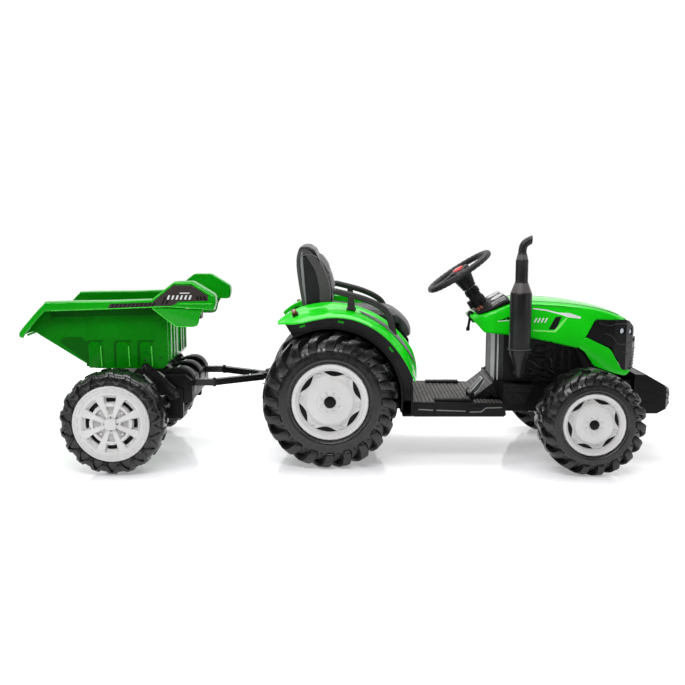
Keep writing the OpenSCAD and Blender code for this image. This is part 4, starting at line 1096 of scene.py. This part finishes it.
def add_stack():
    x, y = 0.513, -0.195
    profile = [(0, 300), (14, 300), (16, 303), (17, 318), (25, 338), (30, 352), (31, 363), (35, 365),
               (35.6, 367.5), (35, 370), (32.6, 371), (33, 374), (33, 536), (32.4, 539), (31, 541),
               (20.4, 570), (19.4, 573), (19.0, 577), (19.0, 634), (19.4, 636), (18.8, 638.5), (17.5, 641),
               (14.2, 656), (13.2, 659), (12.6, 661), (12.6, 668), (0, 668)]
    shapes = [moved(lathe_z(mm(profile), 64), (x, y, 0))]
    centre = smooth_path([(x, y, 0.660), (x + 0.0005, y, 0.670), (x + 0.003, y, 0.681),
                          (x + 0.010, y, 0.6905), (x + 0.020, y, 0.6965), (x + 0.0275, y, 0.7000)], 22)
    # the mouth is cut upright, so the last rings lean over to the plane of the mouth
    run = np.gradient(centre, axis=0)
    run /= np.linalg.norm(run, axis=1, keepdims=True)
    side = np.array([0.0, -1.0, 0.0])
    rings = []
    for i, (c, d) in enumerate(zip(centre, run)):
        lean = max(0.0, (i - 12) / 9) ** 2
        up = np.array([-d[2], 0.0, d[0]]) * (1 - lean) + np.array([0.02, 0.0, 1.08]) * lean
        rings.append([c + 0.0124 * (math.cos(t) * side + math.sin(t) * up)
                      for t in np.linspace(0, TAU, 33)[:-1]])
    shapes.append(grid(rings, close_cols=True, caps=True))
    elbow = smooth_path([(x, y, 0.310), (x, y, 0.300), (x, y + 0.004, 0.291), (x, y + 0.016, 0.286),
                         (x, y + 0.034, 0.2845), (x, -0.138, 0.284)], 24)
    shapes.append(tube(elbow, 0.0135, 24, 1.0, (1, 0, 0)))
    piece("exhaust_pipe", join(*shapes), STACK, ("exhaust_stack",), 35)
    # Lighter grey shells over the flares and the collar: a painted highlight on the cones
    cones = [lathe_z(mm(ring), 64) for ring in (
        [(31.3, 541.0), (20.7, 570.0), (20.2, 569.5), (30.6, 540.8)],
        [(17.8, 641.2), (14.5, 655.8), (14.0, 655.5), (17.2, 641.0)],
        [(35.8, 366.2), (35.9, 367.5), (35.8, 368.8), (35.0, 367.5)])]
    piece("exhaust_cone_highlights", moved(join(*cones), (x, y, 0)), CONE_PAINTED_HIGHLIGHT)


# ---------------------------------------------------------------- steering wheel and dash

TILT = 33.5
WHEEL_CENTRE = Vector((0.349, 0, 0.592))


def on_column(shape):
    """From the column's own frame, local z up the column, to the row's."""
    return placed(shape, place_at(WHEEL_CENTRE, -TILT, "Y"))


def add_steering_wheel():
    ring = []
    for i in range(144):
        a = TAU * i / 144
        wave = 0.0006 * math.cos(36 * a)
        row = []
        for k in range(16):
            b = TAU * k / 16
            tube_r = 0.0108 + (wave if math.cos(b) > -0.2 else 0)
            r = 0.107 + tube_r * math.cos(b)
            row.append((r * math.cos(a), r * math.sin(a), 0.92 * tube_r * math.sin(b)))
        ring.append(row)
    shapes = [grid(ring, close_rows=True, close_cols=True)]
    for deg in (90, 180, 270):
        c, s = polar(1, math.radians(deg))
        rows = []
        for r, half, low, high in ((0.026, 0.020, -0.010, 0.007), (0.045, 0.0145, -0.008, 0.005),
                                   (0.065, 0.012, -0.006, 0.0035), (0.085, 0.0135, -0.0055, 0.004),
                                   (0.103, 0.018, -0.006, 0.005)):
            edge = ((-1, low), (-1, high - 0.002), (-0.75, high), (0.75, high), (1, high - 0.002), (1, low))
            rows.append([(r * c - t * half * s, r * s + t * half * c, z) for t, z in edge])
        shapes.append(softened(grid(rows, close_cols=True, caps=True), 0.0016, 2))
    hub = [(0, -16), (30, -16), (35, -12), (36, -4), (36, 4), (34, 7.2), (30, 8), (21.5, 8), (20, 7),
           (20, 2.2), (0, 2.2)]
    shapes.append(lathe_z(mm(hub), 48))
    piece("steering_wheel_rim", on_column(join(*shapes)), WHEEL_GRIP, (), 40, "steering")
    boot = [(0, -14), (31, -14), (33, -18), (32, -23), (30, -26), (30.5, -30), (28, -35), (28.5, -39),
            (26, -44), (26.3, -48), (24, -53), (24, -60), (22.5, -62), (0, -62)]
    piece("steering_boot", on_column(lathe_z(mm(boot), 48)), BLACK_GRAIN,
          ("steering_wheel",), 30, "steering")
    horn = [(0, 12.2), (12, 12.0), (16, 11.4), (18.4, 10), (19, 8), (19, 5.2), (0, 5.2)]
    piece("horn_cap", on_column(lathe_z(mm(horn), 40)), RED, ("horn_button",), 30, "horn")
    # Two red switches on the upper spokes' roots
    pad = softened(block((-0.008, 0.025, 0.006), (0.010, 0.034, 0.0100)), 0.0018, 2)
    piece("horn_trim", on_column(both_sides(pad)), RED, body="steering")


def add_dash():
    """Sleeve with its collar, gauge hump, striped panel and the keys beside it."""
    sleeve = [(0, -66), (21, -66), (23, -68), (23, -84), (21.5, -86), (21.5, -98), (25, -104), (26, -112),
              (26, -127), (0, -127)]
    shapes = [on_column(lathe_z(mm(sleeve), 40))]
    for k in range(3):
        z = (-72 - 5 * k) * MM
        ring = [(0.0225, z), (0.0248, z - 0.001), (0.0248, z - 0.003), (0.0225, z - 0.004)]
        shapes.append(on_column(lathe_z(ring, 40)))
    shapes.append(softened(on_column(block((-0.034, -0.016, -0.122), (-0.018, 0.016, -0.100))), 0.003, 2))
    piece("dash_sleeve", join(*shapes), BLACK_GRAIN, (), 35)
    hump = smooth_path([(398, 464.5), (404, 470), (414, 478), (430, 489), (445, 498), (462, 508), (476, 516),
                        (487, 520), (494, 518), (498, 510), (500, 507.5)], 40) * MM

    def sink(y):
        return 0.012 * abs(y / 0.1155) ** 5

    rows = []
    for y in np.linspace(-0.1155, 0.1155, 25):
        rows.append([(x, y * hood_taper(x / MM), max(z - sink(y), HOOD_TOP(x / MM) * MM + 0.0006)) for x,
                     z in hump])
    under = [[(x, y, HOOD_TOP(x / MM) * MM - 0.002) for x, y, z in row] for row in rows[::-1]]
    piece("dash_hump", grid(rows + under, close_rows=True), BLACK_GRAIN, ("dash_panel",), 40)

    # Generic instrument graphics on the hump: two dials and stripes
    def on_hump(u, y):
        x, z = hump[int(round(u * (len(hump) - 1)))]
        return x, z - sink(y) + 0.0008

    bars, dials, keys = [], [], []
    for y0 in (-0.104, -0.092, -0.080, 0.074, 0.086, 0.098):
        rows = []
        for u in np.linspace(0.38, 0.66, 8):
            x, z = on_hump(u, y0)
            rows.append([(x, y0, z - 0.001), (x, y0, z + 0.0006), (x, y0 + 0.006, z + 0.0006),
                         (x, y0 + 0.006, z - 0.001)])
        bars.append(grid(rows, close_cols=True, caps=True))
    dial = lathe_z([(0, 0.0016), (0.019, 0.0016), (0.021, 0.0026), (0.023, 0.0016), (0.023, -0.001)], 36)
    for y in (-0.035, 0.035):
        x, z = on_hump(0.53, y)
        dials.append(placed(dial, place_at((x, y, z), -32, "Y")))
    piece("dash_bars", join(*bars), LIGHT_GREY)
    piece("dash_dials", join(*dials), LIGHT_GREY)
    for y0 in np.linspace(-0.078, 0.060, 7):
        for u in (0.12, 0.2):
            x, z = on_hump(u, y0)
            keys.append(softened(bar((x - 0.003, y0 + 0.012, z), (x + 0.004, y0 + 0.012, z + 0.0045), 0.018,
                                     0.0022, (-0.55, 0, 0.83)), 0.0006, 1))
    piece("dash_keys", join(*keys), ORANGE)

    # The lever's barrel turns on its pin, which stays as packed
    knob = lathe_z([(0, -0.056), (0.004, -0.0555), (0.0062, -0.052), (0.0062, -0.046), (0.0045, -0.040),
                    (0.0042, -0.010), (0, -0.010)], 20)
    barrel = lathe([(0.0031, -0.0125), (0.0095, -0.0125), (0.0102, -0.0115), (0.0102, 0.0115),
                    (0.0095, 0.0125), (0.0031, 0.0125)], 28)
    lever = join(placed(knob, place_at((0.384, -0.034, 0.457), 9, "Y")),
                 moved(barrel, (0.384, -0.0335, 0.457)))
    piece("lever_stick", lever, BLACK, ("gear_lever",), body="lever")


# ---------------------------------------------------------------- footboard, pedal, bumper, chassis

def add_footboard():
    paint(["footboard"], BLACK_GRAIN, 0.002)
    # Tread bars in pale grey: painted sheen on their lit tops
    tread = []
    for row in range(15):
        x = 0.1985 + 0.0122 * row
        z = 0.1982 - (x - 0.188) * 3 / 197
        for k in range(15):
            y = -0.1695 + 0.0245 * k + (0.012 if row % 2 else 0)
            on_grip = abs(abs(y) - 0.155) < 0.026 and 0.248 < x < 0.375
            if y <= 0.168 and not on_grip:
                tread.append(bar((x, y - 0.0095, z), (x + 0.003, y + 0.0095, z), 0.0066, 0.0024))
    for row in range(8):
        x = 0.384 + 0.0115 * row
        z = 0.1954 - (x - 0.385) * 3 / 88
        for k in range(3):
            y = 0.130 + 0.0195 * k
            for s in (1, -1):
                tread.append(bar((x, s * y - 0.0075, z), (x + 0.003, s * y + 0.0075, z), 0.0070, 0.0022))
    piece("footboard_tread", join(*tread), TREAD_PAINTED_SHEEN, (), 30)
    # Ramp panel with rows of oval dimples; its pale grey is a painted reflection on the black slope
    foot, head = np.array([0.3815, 0.1958]), np.array([0.4455, 0.2462])
    along = head - foot
    unit = along / np.linalg.norm(along)
    normal = np.array([-unit[1], unit[0]])
    sheet = [tuple(foot), tuple(head), tuple(head - normal * 0.002), tuple(foot - normal * 0.002)]
    piece("ramp_panel", prism(sheet, -0.1165, 0.1165), TREAD_PAINTED_SHEEN, (), 30)
    ovals = []
    for row in range(5):
        c = foot + along * (0.12 + 0.185 * row) + normal * 0.0003
        for k in range(7):
            y = -0.096 + 0.032 * k
            ring = []
            for t in np.linspace(0, TAU, 13)[:-1]:
                q = c + unit * 0.0046 * math.sin(t)
                ring.append((q[0], y + 0.0120 * math.cos(t), q[1]))
            ovals.append(grid([np.array(ring) + (0.0008, 0, -0.0010), ring], close_cols=True, caps=True))
    piece("ramp_dimples", join(*ovals), BLACK, (), 30)
    ribs = []
    for k in range(15):
        x = 0.2605 + 0.0075 * k
        ribs.append(softened(block((x, 0.1405, 0.201), (x + 0.0042, 0.1695, 0.2055)), 0.0008, 1))
    piece("grip_ribs", both_sides(*ribs), BLACK_GRAIN, (), 30)
    # Raised frame on the side of the board; its pale trim lines are a painted highlight along the groove
    y = 0.1855
    trim = rods([[(205, 175.5), (252, 173)], [(262, 172.5), (352, 170)], [(366, 167), (402, 168), (416, 180),
                 (466, 181.5)]], y, 0.0034, 0.0018, 0.0006)
    edge = rods([[(190, 194.5), (472, 188)], [(366, 184), (402, 184), (412, 187)]], y, 0.0024, 0.0018, 0.0006)
    edge += [softened(block((x, y, 0.158), (x + 0.004, y + 0.001, 0.190)), 0.0005, 1)
             for x in (0.2545, 0.3575)]
    piece("footboard_edges", both_sides(*edge), BLACK)
    piece("footboard_trim", both_sides(*trim), STRIPE_AND_HIGHLIGHT_GREY)


def add_pedal():
    hinge = (0.378, -0.100, 0.212)
    m = place_at(hinge, 40, "Y")
    side_view = [(-0.0045, 0.0), (-0.0045, 0.0615), (0.003, 0.0615), (0.0105, 0.028), (0.0075, 0.0)]
    shapes = [softened(prism(side_view, -0.0195, 0.0195), 0.0014, 2)]
    for k in range(8):
        z = 0.010 + 0.0062 * k
        shapes.append(softened(block((-0.0050, -0.015, z), (-0.0035, 0.015, z + 0.003)), 0.0007, 1))
    # Silver edges: a painted highlight along the pedal's rims
    edges = []
    for y, rim_y in ((-0.0182, -0.0197), (0.0182, 0.0197)):
        edges += rods([[(-4.6, 2), (-4.6, 60.5)]], y, 0.0032, 0.0016, 0.0006)
        edges += rods([[(6.5, 2), (9.5, 27), (2.5, 59.5)]], rim_y, 0.0010, 0.0014)
    edges += [softened(block((-0.0050, -0.0195, z), (-0.0036, 0.0195, z + 0.0030)), 0.0006, 1)
              for z in (0.002, 0.058)]
    hub = lathe([(0.0031, -0.030), (0.0065, -0.030), (0.0072, -0.029), (0.0072, 0.029), (0.0065, 0.030),
                 (0.0031, 0.030)], 28)
    piece("pedal_plate", join(placed(join(*shapes), m), moved(hub, hinge)), PEDAL,
          ("pedal",), body="accelerator")
    piece("pedal_edges", placed(join(*edges), m), SILVER, body="accelerator")


def add_bumper():
    paint(["front_bumper"], BLACK, 0.0035, 3)
    ribs = []
    for k in range(15):
        y = -0.126 + 0.018 * k
        ribs.append(softened(bar((0.930, y, 0.2735), (1.002, y, 0.2325), 0.010, 0.0018, (0.5, 0, 0.87)),
                             0.0006, 1))
    lines = rods([[(902, 262), (918, 262), (996, 219)], [(905, 226), (958, 214), (1000, 200)],
                  [(905, 190), (966, 180)]], 0.1402, 0.0035, 0.0025, 0.0008)
    piece("bumper_lines", both_sides(*lines), BLACK)
    piece("bumper_ribs", join(*ribs), GREY)


def add_chassis_detail():
    paint(["rear_body", "front_chassis", "hitch_bracket"], BLACK_GRAIN, 0.002)
    shapes = rods([[(470, 212), (486, 194), (534, 194)], [(486, 226), (548, 222)], [(476, 245), (560, 240)],
                   [(486, 226), (478, 244)]], 0.1705, 0.003, 0.0025, 0.0008)
    shapes += [dome(x, z, 0.1695, 0.005, 0.003) for x, z in ((0.500, 0.210), (0.530, 0.208))]
    piece("step_lines", both_sides(*shapes), BLACK)
    # Screws in the dark wheel arch
    screws = []
    for deg in (35, 80, 120):
        x, z = polar(0.2225, math.radians(deg))
        screws.append(dome(AXLE[0] + x, AXLE[1] + z, 0.2045, 0.005, 0.002))
    piece("arch_screws", both_sides(*screws), BLACK)

# ---------------------------------------------------------------- tub

TUB_TAIL = -1.0155
TUB_PANELS = ((-817, 42), (-731, 42), (-658, 40))
FIN_EDGE = [(-609, 516), (-541, 569), (-486, 569), (-421, 529.5)]


def tub_rim():
    """The left rim: a shelf that turns down into a band, and round the fin and its wing."""
    top = [(-1016, 406), (-1012, 425), (-941, 503), (-914, 512), (-736, 515), (-611, 519), (-540, 573),
           (-533, 574), (-486, 574), (-478, 571), (-420, 535), (-416, 528), (-415, 508), (-422, 488)]
    low = [(-1004, 402), (-993, 418), (-941, 476), (-914, 484), (-736, 490), (-611, 495), (-586, 498),
           (-560, 497), (-520, 495), (-490, 492), (-460, 490), (-440, 489), (-430, 488), (-424, 487)]
    crest, foot = [np.concatenate([smooth_path(edge[:5], 30)[:-1], np.array(edge[4:])])
                   for edge in (top, low)]
    rows = []
    for y, f, lift in ((161, 0, -1.5), (163, 0, 0), (196, 0, 0), (202, 0.03, 0), (205, 0.12, 0),
                       (206, 0.25, 0), (206, 0.90, 0), (205.5, 0.97, 0), (203, 1.0, 0), (201, 0.97, 0),
                       (200.5, 0.3, 0), (199, 0.13, -1), (165, 0.12, -2), (161, 0.12, -3)):
        rows.append(row_at(crest * (1 - f) + foot * f, y, 0, lift) * MM)
    count = len(rows)
    shapes = [grid(rows, close_rows=True),
              (np.array([r[-1] for r in rows]), [tuple(range(count))]),
              (np.array([r[0] for r in rows]), [tuple(range(count - 1, -1, -1))])]
    # Inner wall of the fin, so that it is a box and not a sheet
    fin = [(-611, 492), (-611, 517), (-540, 571), (-486, 571), (-421, 532), (-418, 508), (-425, 489)]
    shapes.append(softened(prism(rounded(fin, 4), 0.1615, 0.1650), 0.001, 1))
    # Wing below the band, with a rounded front corner, and its lining
    wing = [(-614, 496), (-560, 452), (-536, 435.5), (-488, 435), (-472, 439), (-467, 452), (-464, 470),
            (-452, 489)]
    shapes.append(softened(prism(rounded(wing, 10, 4), 0.1965, 0.2025), 0.0022, 2))
    lining = [(-600, 494), (-556, 457), (-534, 441), (-492, 441), (-478, 445), (-473, 456), (-470, 472),
              (-460, 489)]
    shapes.append(softened(prism(rounded(lining, 8), 0.184, 0.197), 0.002, 1))
    # Bar below the graphic, and the raised outline of the fin
    step = [(-528, 504), (-432, 504), (-423, 507), (-423, 512), (-520, 512), (-528, 510)]
    shapes.append(softened(prism(rounded(step, 2), 0.2055, 0.2078), 0.0009, 2))
    shapes += rods([FIN_EDGE], 0.2055, 0.005, 0.0028, 0.001)
    return shapes


def add_tub_edges():
    """Painted shade beside the panels and under the rim, and painted highlights along the edges of the
    mouldings.
    """
    # Painted shadow in the corner by the tail and under the rim
    corner = [(-905, 385), (-890, 400), (-838, 400), (-824, 386), (-824, 322)]
    under_rim = [(-935, 478), (-912, 486), (-736, 492), (-600, 494), (-600, 468), (-736, 466), (-912, 462),
                 (-926, 458)]
    shades = [prism(mm(outline), 0.1642, 0.1650) for outline in (corner, under_rim)]
    lights = []
    # Painted shadow down each panel's left side and under it, and a painted highlight down its right edge
    for x, w in TUB_PANELS:
        frame_line = [(x - 8, 308), (x - 8, 384), (x + 1, 390), (x + w + 6, 390), (x + w - 1, 383),
                      (x + 3, 383), (x + 0.5, 374), (x + 0.5, 308)]
        shades.append(prism(mm(frame_line), 0.1642, 0.1652))
        gleam = [(x + w - 3.5, 308), (x + w, 308), (x + w - 2, 372), (x + w - 5, 372)]
        lights.append(prism(mm(gleam), 0.1640, 0.1690))
    # Light green rods along the wing, the band and the fin's outline: painted highlights
    lights += rods([[(-608, 493.5), (-560, 455), (-536, 438), (-490, 437.5)]], 0.2030, 0.0028, 0.0018)
    lights += rods([[(-914, 486), (-736, 492), (-611, 497), (-560, 499), (-440, 491)]], 0.2062, 0.0026,
                   0.0016)
    lights += rods([FIN_EDGE, [(-528, 507), (-424, 507.5)]], 0.2072, 0.0026, 0.0018)
    piece("tub_painted_shadows", both_sides(*shades), TUB_PAINTED_SHADOW, body="dump_tub")
    piece("tub_painted_highlights", both_sides(*lights), TUB_PAINTED_HIGHLIGHT, body="dump_tub")


def slash(x, z0, z1, width, lean):
    """A leaning stroke, in millimetres."""
    return [(x, z0), (x + width, z0), (x + width + lean, z1), (x + lean, z1)]


def add_tub_graphics():
    """A plain ribbon and panel with strokes, without any lettering."""
    panels = [[(-603, 515), (-541, 563), (-486, 563), (-437, 532), (-437, 516), (-528, 514), (-536, 506),
               (-552, 501), (-604, 501)],
              [(-744, 491), (-604, 497.5), (-604, 511.5), (-735, 507)]]
    marks = []
    for k in range(11):
        x, low, high = -733 + 12.5 * k, 0.045 * 12.5 * k, 0.03 * 12.5 * k
        marks.append([(x, 494.5 + low), (x + 5, 494.7 + low), (x + 12, 507.5 + high), (x + 7, 507.2 + high)])
    marks += [slash(-470 + 11 * k, 518, 530, 5, -4) for k in range(3)]
    marks += [slash(-580 + 12 * k, 505, 527, 5, 12) for k in range(2)]
    slashes = [slash(-562 + 13 * k, 520, 533, 5.5, 5) for k in range(6)] + [slash(-524, 538, 541, 30, 2)]
    for name, outlines, y0, y1, mat, slot in (
        ("tub_graphic_slashes", slashes, 0.2060, 0.2067, SILVER, "dark_grey_plastic"),
        ("tub_graphic", panels, 0.2055, 0.2064, DECAL, "dark_grey_plastic"),
        ("tub_graphic_marks", marks, 0.2060, 0.2066, BLACK, "black_plastic"),
    ):
        shape = both_sides(*[prism(mm(outline), y0, y1) for outline in outlines])
        piece(name, shape, mat, body="dump_tub")


def add_tub():
    """The tipping tub: walls, rolled rim band, wings ahead of the front wall, ribs and graphics."""
    wall = [(-983, 418), (-800, 302), (-588, 302), (-571, 319), (-573, 512), (-736, 512), (-916, 509),
            (-941, 500), (-1012, 425), (-1014, 408)]
    sides = [softened(prism(rounded(wall, 6), 0.160, 0.1645), 0.0012, 1)]
    # Vertical panels on the lower side, hinge tab and its pin boss
    for x, w in TUB_PANELS:
        panel = [(x, 303.5), (x + w, 303.5), (x + w - 1.5, 372), (x + w - 8, 386), (x + 6, 386),
                 (x + 0.5, 376)]
        sides.append(softened(prism(rounded(panel, 5), 0.1640, 0.1685), 0.0016, 2))
    tab = [(-654, 303), (-626, 303), (-626, 345), (-630, 350), (-648, 350), (-654, 345)]
    sides.append(softened(prism(rounded(tab, 4), 0.164, 0.1765), 0.0018, 2))
    boss = [polar(0.014, TAU * k / 28) for k in range(28)]
    sides.append(softened(prism([(-0.640 + x, 0.308 + z) for x, z in boss], 0.164, 0.1765), 0.0015, 2))

    # Floor, sloped tail and front wall as one bent sheet
    outer = smooth_path([(-1015, 407), (-984, 416.5), (-960, 402), (-890, 357.5), (-815, 310), (-800, 303),
                         (-780, 301.5), (-700, 301.5), (-604, 301.5), (-586, 304), (-573, 318), (-571.5, 340),
                         (-572, 420), (-573, 505)], 90) * MM
    run = np.gradient(outer, axis=0)
    run /= np.linalg.norm(run, axis=1, keepdims=True)
    inner = outer + np.column_stack([-run[:, 1], run[:, 0]]) * 0.0048
    rows = [row_at(outer, -0.1635), row_at(outer, 0.1635), row_at(inner, 0.1635), row_at(inner, -0.1635)]
    shapes = [grid(rows, close_rows=True)]
    # Ribs on the front wall, and serrations under the tail
    for y in (-0.130, -0.080, -0.040, 0.040, 0.080, 0.130):
        shapes.append(softened(block((-0.5735, y - 0.009, 0.325), (-0.566, y + 0.009, 0.480)), 0.0025, 2))
    for k in range(16):
        y = -0.150 + 0.020 * k
        shapes.append(softened(bar((-1.010, y, 0.4035), (-0.988, y, 0.4125), 0.006, 0.006), 0.001, 1))
    # Cross rail that ties the two rims over the front wall
    rail = rounded([(-577, 500), (-577, 515), (-612, 519), (-606, 512), (-585, 508)], 2)
    shapes.append(softened(prism(rail, -0.162, 0.162), 0.001, 1))
    points, faces = join(*shapes, both_sides(*tub_rim()))
    points[:, 0] = np.maximum(points[:, 0], TUB_TAIL)
    piece("tub_body", (points, faces), TUB_GREEN, ("tub",), 35, "dump_tub")
    # Walls and panels in the darker green: painted shade under the rim
    piece("tub_walls", both_sides(*sides), TUB_WALL_PAINTED_SHADE, (), 35, "dump_tub")
    add_tub_edges()
    add_tub_graphics()
    bolts = [dome(-0.640, 0.330, 0.1755, 0.0035, 0.0025), dome(-0.596, 0.335, 0.1640, 0.003, 0.002)]
    piece("tub_bolts", both_sides(*bolts), BLACK_STEEL, body="dump_tub")
    paint(["tub_latch"], BLACK, 0.002)


# ---------------------------------------------------------------- trailer frame

def ridge_outline():
    pts = [(-586, 196), (-586, 286), (-583, 291)]
    for a in range(130, -1, -10):
        x, z = polar(45, math.radians(a))
        pts.append((-540 + x - (6 if a > 110 else 0), 254 + z))
    return pts + [(-496, 244), (-500, 205), (-508, 196)]


def add_trailer():
    paint(["hitch_tongue"], BLACK, 0.002)
    ridge = ridge_outline()
    cap = [(x - 1.5 if x < -550 else x + 0.8, z + 1) for x, z in ridge]
    shapes = []
    for y in (-0.118, 0.0, 0.118):
        shapes.append(softened(prism(mm(ridge), y - 0.026, y + 0.026), 0.006, 3, 20))
        shapes.append(softened(prism(mm(cap), y - 0.018, y + 0.018), 0.002, 2, 20))
    beam = [(-584, 194), (-584, 276), (-578, 281), (-519, 281), (-498.5, 263), (-498.5, 198), (-506, 192)]
    shapes.append(softened(prism(mm(beam), -0.1705, 0.1705), 0.004, 2))
    rail = rounded([(-740, 147), (-525, 147), (-525, 236), (-533, 243), (-566, 243), (-566, 179), (-700, 179),
                    (-740, 172)], 7)
    plate = rounded([(-730, 153), (-531, 153), (-531, 232), (-560, 237), (-560, 172), (-702, 172),
                     (-732, 167)], 6)
    shapes.append(both_sides(softened(prism(rail, 0.168, 0.1855), 0.002, 2),
                             softened(prism(plate, 0.185, 0.1868), 0.001, 1),
                             dome(-0.546, 0.219, 0.1865, 0.006, 0.003, 12)))
    piece("trailer_chassis", join(*shapes), BLACK, ("trailer_frame",), 35, "trailer")

    # Arms from the frame to the tub's pivot, as folded channels
    arm = rounded([(-652, 303), (-634, 322), (-546, 244), (-533, 215), (-559, 205)], 7, 4)
    arms = [softened(prism(arm, 0.1862, 0.1895), 0.001, 2)]
    arms += rods([[(-634, 321), (-547, 244)], [(-650, 301), (-560, 207)]], 0.1885, 0.006, 0.004, 0.001, 2)
    washer = lathe([(0, 0.1905), (0.0105, 0.1905), (0.011, 0.190), (0.011, 0.189)], 24)
    bolts = []
    for x, z in ((-0.640, 0.308), (-0.548, 0.222)):
        bolts += [dome(x, z, 0.1895, 0.0085, 0.0045, 6), moved(washer, (x, 0, z))]
    piece("tub_arm_channels", both_sides(*arms), BLACK_STEEL, ("tub_arms",), 40, "trailer")
    piece("tub_pivot_bolts", both_sides(*bolts), BLACK_STEEL, body="trailer")
    paint(["drawbar_left", "drawbar_right"], BLACK_STEEL, 0.003, 3)
    heads = []
    for radius, height, steps, spots in (
        (0.005, 0.003, 8, [(x, s * y, 0.2602) for x, y in ((-0.436, 0.120), (-0.462, 0.120), (-0.330, 0.0485))
                           for s in (1, -1)]),
        (0.004, 0.002, 10, [(-0.548, y + dy, 0.3) for y in (-0.118, 0.0, 0.118) for dy in (-0.010, 0.010)]),
    ):
        head = turned(dome(0, 0, 0, radius, height, steps), math.radians(90), "X")
        heads += [moved(head, spot) for spot in spots]
    piece("drawbar_bolts", join(*heads), STEEL, body="trailer")


# ---------------------------------------------------------------- hidden parts and the stage

def add_plain_finishes():
    """Finishes of the parts that stay as packed, and the two tail lamps."""
    paint(["rear_axle", "front_axle_beam", "hitch_pin", "motor_left", "motor_right", "steering_shaft",
           "knuckle_left", "knuckle_right", "tie_rod", "motor_pinion_left", "motor_pinion_right",
           "trailer_axle"], STEEL)
    paint(["gearbox_left", "gearbox_right", "battery"], GREY)
    paint(["drive_gear_left", "drive_gear_right"], WHITE)
    c, s = polar(1, math.radians(112.5))

    def at(r, y):
        return AXLE[0] + r * c, y, AXLE[1] + r * s

    base = softened(bar(at(0.287, 0.1535), at(0.2775, 0.1705), 0.019, 0.006, (c, 0, s)), 0.002, 2)
    lens = softened(bar(at(0.294, 0.1555), at(0.2845, 0.1685), 0.013, 0.015, (c, 0, s)), 0.0035, 3)
    piece("tail_lamp_lenses", both_sides(lens), ORANGE, ("tail_lights",), 50)
    piece("tail_lamp_bases", both_sides(base), BLACK)


def floor_material():
    """White round the object and a quiet grey far in front of it, which keeps dark parts dark."""
    mat, tree, shader = new_material("studio_floor")
    drift = span_map(tree, noise(tree, 3), 0, 1)
    white = mix_colour(tree, drift, (0.80, 0.80, 0.83), (0.84, 0.84, 0.86))
    coords = tree.nodes.new("ShaderNodeTexCoord")
    parts = tree.nodes.new("ShaderNodeSeparateXYZ")
    tree.links.new(coords.outputs["Object"], parts.inputs[0])
    near = tree.nodes.new("ShaderNodeMapRange")
    near.interpolation_type = "SMOOTHSTEP"
    near.inputs["From Min"].default_value = -2.5
    near.inputs["From Max"].default_value = -1.4
    tree.links.new(parts.outputs["Y"], near.inputs["Value"])
    mix = tree.nodes.new("ShaderNodeMix")
    mix.data_type = "RGBA"
    mix.inputs["A"].default_value = (0.22, 0.22, 0.23, 1)
    tree.links.new(near.outputs["Result"], mix.inputs["Factor"])
    tree.links.new(white, mix.inputs["B"])
    tree.links.new(mix.outputs["Result"], shader.inputs["Base Color"])
    glow = tree.nodes.new("ShaderNodeMath")
    glow.operation = "MULTIPLY"
    glow.inputs[1].default_value = 0.30
    tree.links.new(near.outputs["Result"], glow.inputs[0])
    tree.links.new(glow.outputs[0], shader.inputs["Emission Strength"])
    shader.inputs["Emission Color"].default_value = (1, 1, 1, 1)
    shader.inputs["Roughness"].default_value = 0.09
    return mat


def add_world():
    """White behind and overhead, dimmer on the near side so that gloss has something dark to show."""
    world = bpy.data.worlds.new("studio")
    scene.world = world
    world.use_nodes = True
    tree = world.node_tree
    back = tree.nodes["Background"]
    coords = tree.nodes.new("ShaderNodeTexCoord")
    parts = tree.nodes.new("ShaderNodeSeparateXYZ")
    tree.links.new(coords.outputs["Generated"], parts.inputs[0])
    ramp = tree.nodes.new("ShaderNodeMapRange")
    ramp.interpolation_type = "SMOOTHSTEP"
    ramp.inputs["From Min"].default_value = -0.25
    ramp.inputs["From Max"].default_value = 0.45
    ramp.inputs["To Min"].default_value = 0.12
    ramp.inputs["To Max"].default_value = 1.0
    tree.links.new(parts.outputs["Y"], ramp.inputs["Value"])
    tree.links.new(ramp.outputs["Result"], back.inputs["Strength"])
    back.inputs["Color"].default_value = (1, 1, 1, 1)


def add_stage():
    rows = [[(x, y, 0.0) for x in (-6.0, 6.0)] for y in (-3.5, 6.0)]
    shape = grid(rows)
    mesh = bpy.data.meshes.new("studio_floor")
    mesh.from_pydata([tuple(p) for p in shape[0]], [], shape[1])
    mesh.materials.append(floor_material())
    floor = bpy.data.objects.new("studio_floor", mesh)
    scene.collection.objects.link(floor)
    add_world()
    scene.view_settings.view_transform = "Standard"
    add_light("key", (-0.6, -2.2, 2.7), (0.0, 0, 0.25), (2.8, 0.7), 66)
    add_light("strip_left", (-2.8, -1.5, 1.3), (-0.4, 0, 0.3), (0.5, 1.8), 14)
    add_light("strip_right", (2.8, -1.7, 1.4), (0.4, 0, 0.3), (0.5, 1.8), 14)
    add_light("top", (0.0, 0.3, 3.0), (0.0, 0, 0.3), (3.6, 1.4), 75)


add_camera()
add_stage()
add_wheels()
add_seat()
add_fenders()
add_armrests()
add_hood()
add_mask()
add_hood_liner()
add_headlights()
add_engine()
add_stack()
add_steering_wheel()
add_dash()
add_footboard()
add_pedal()
add_bumper()
add_chassis_detail()
add_tub()
add_trailer()
add_plain_finishes()
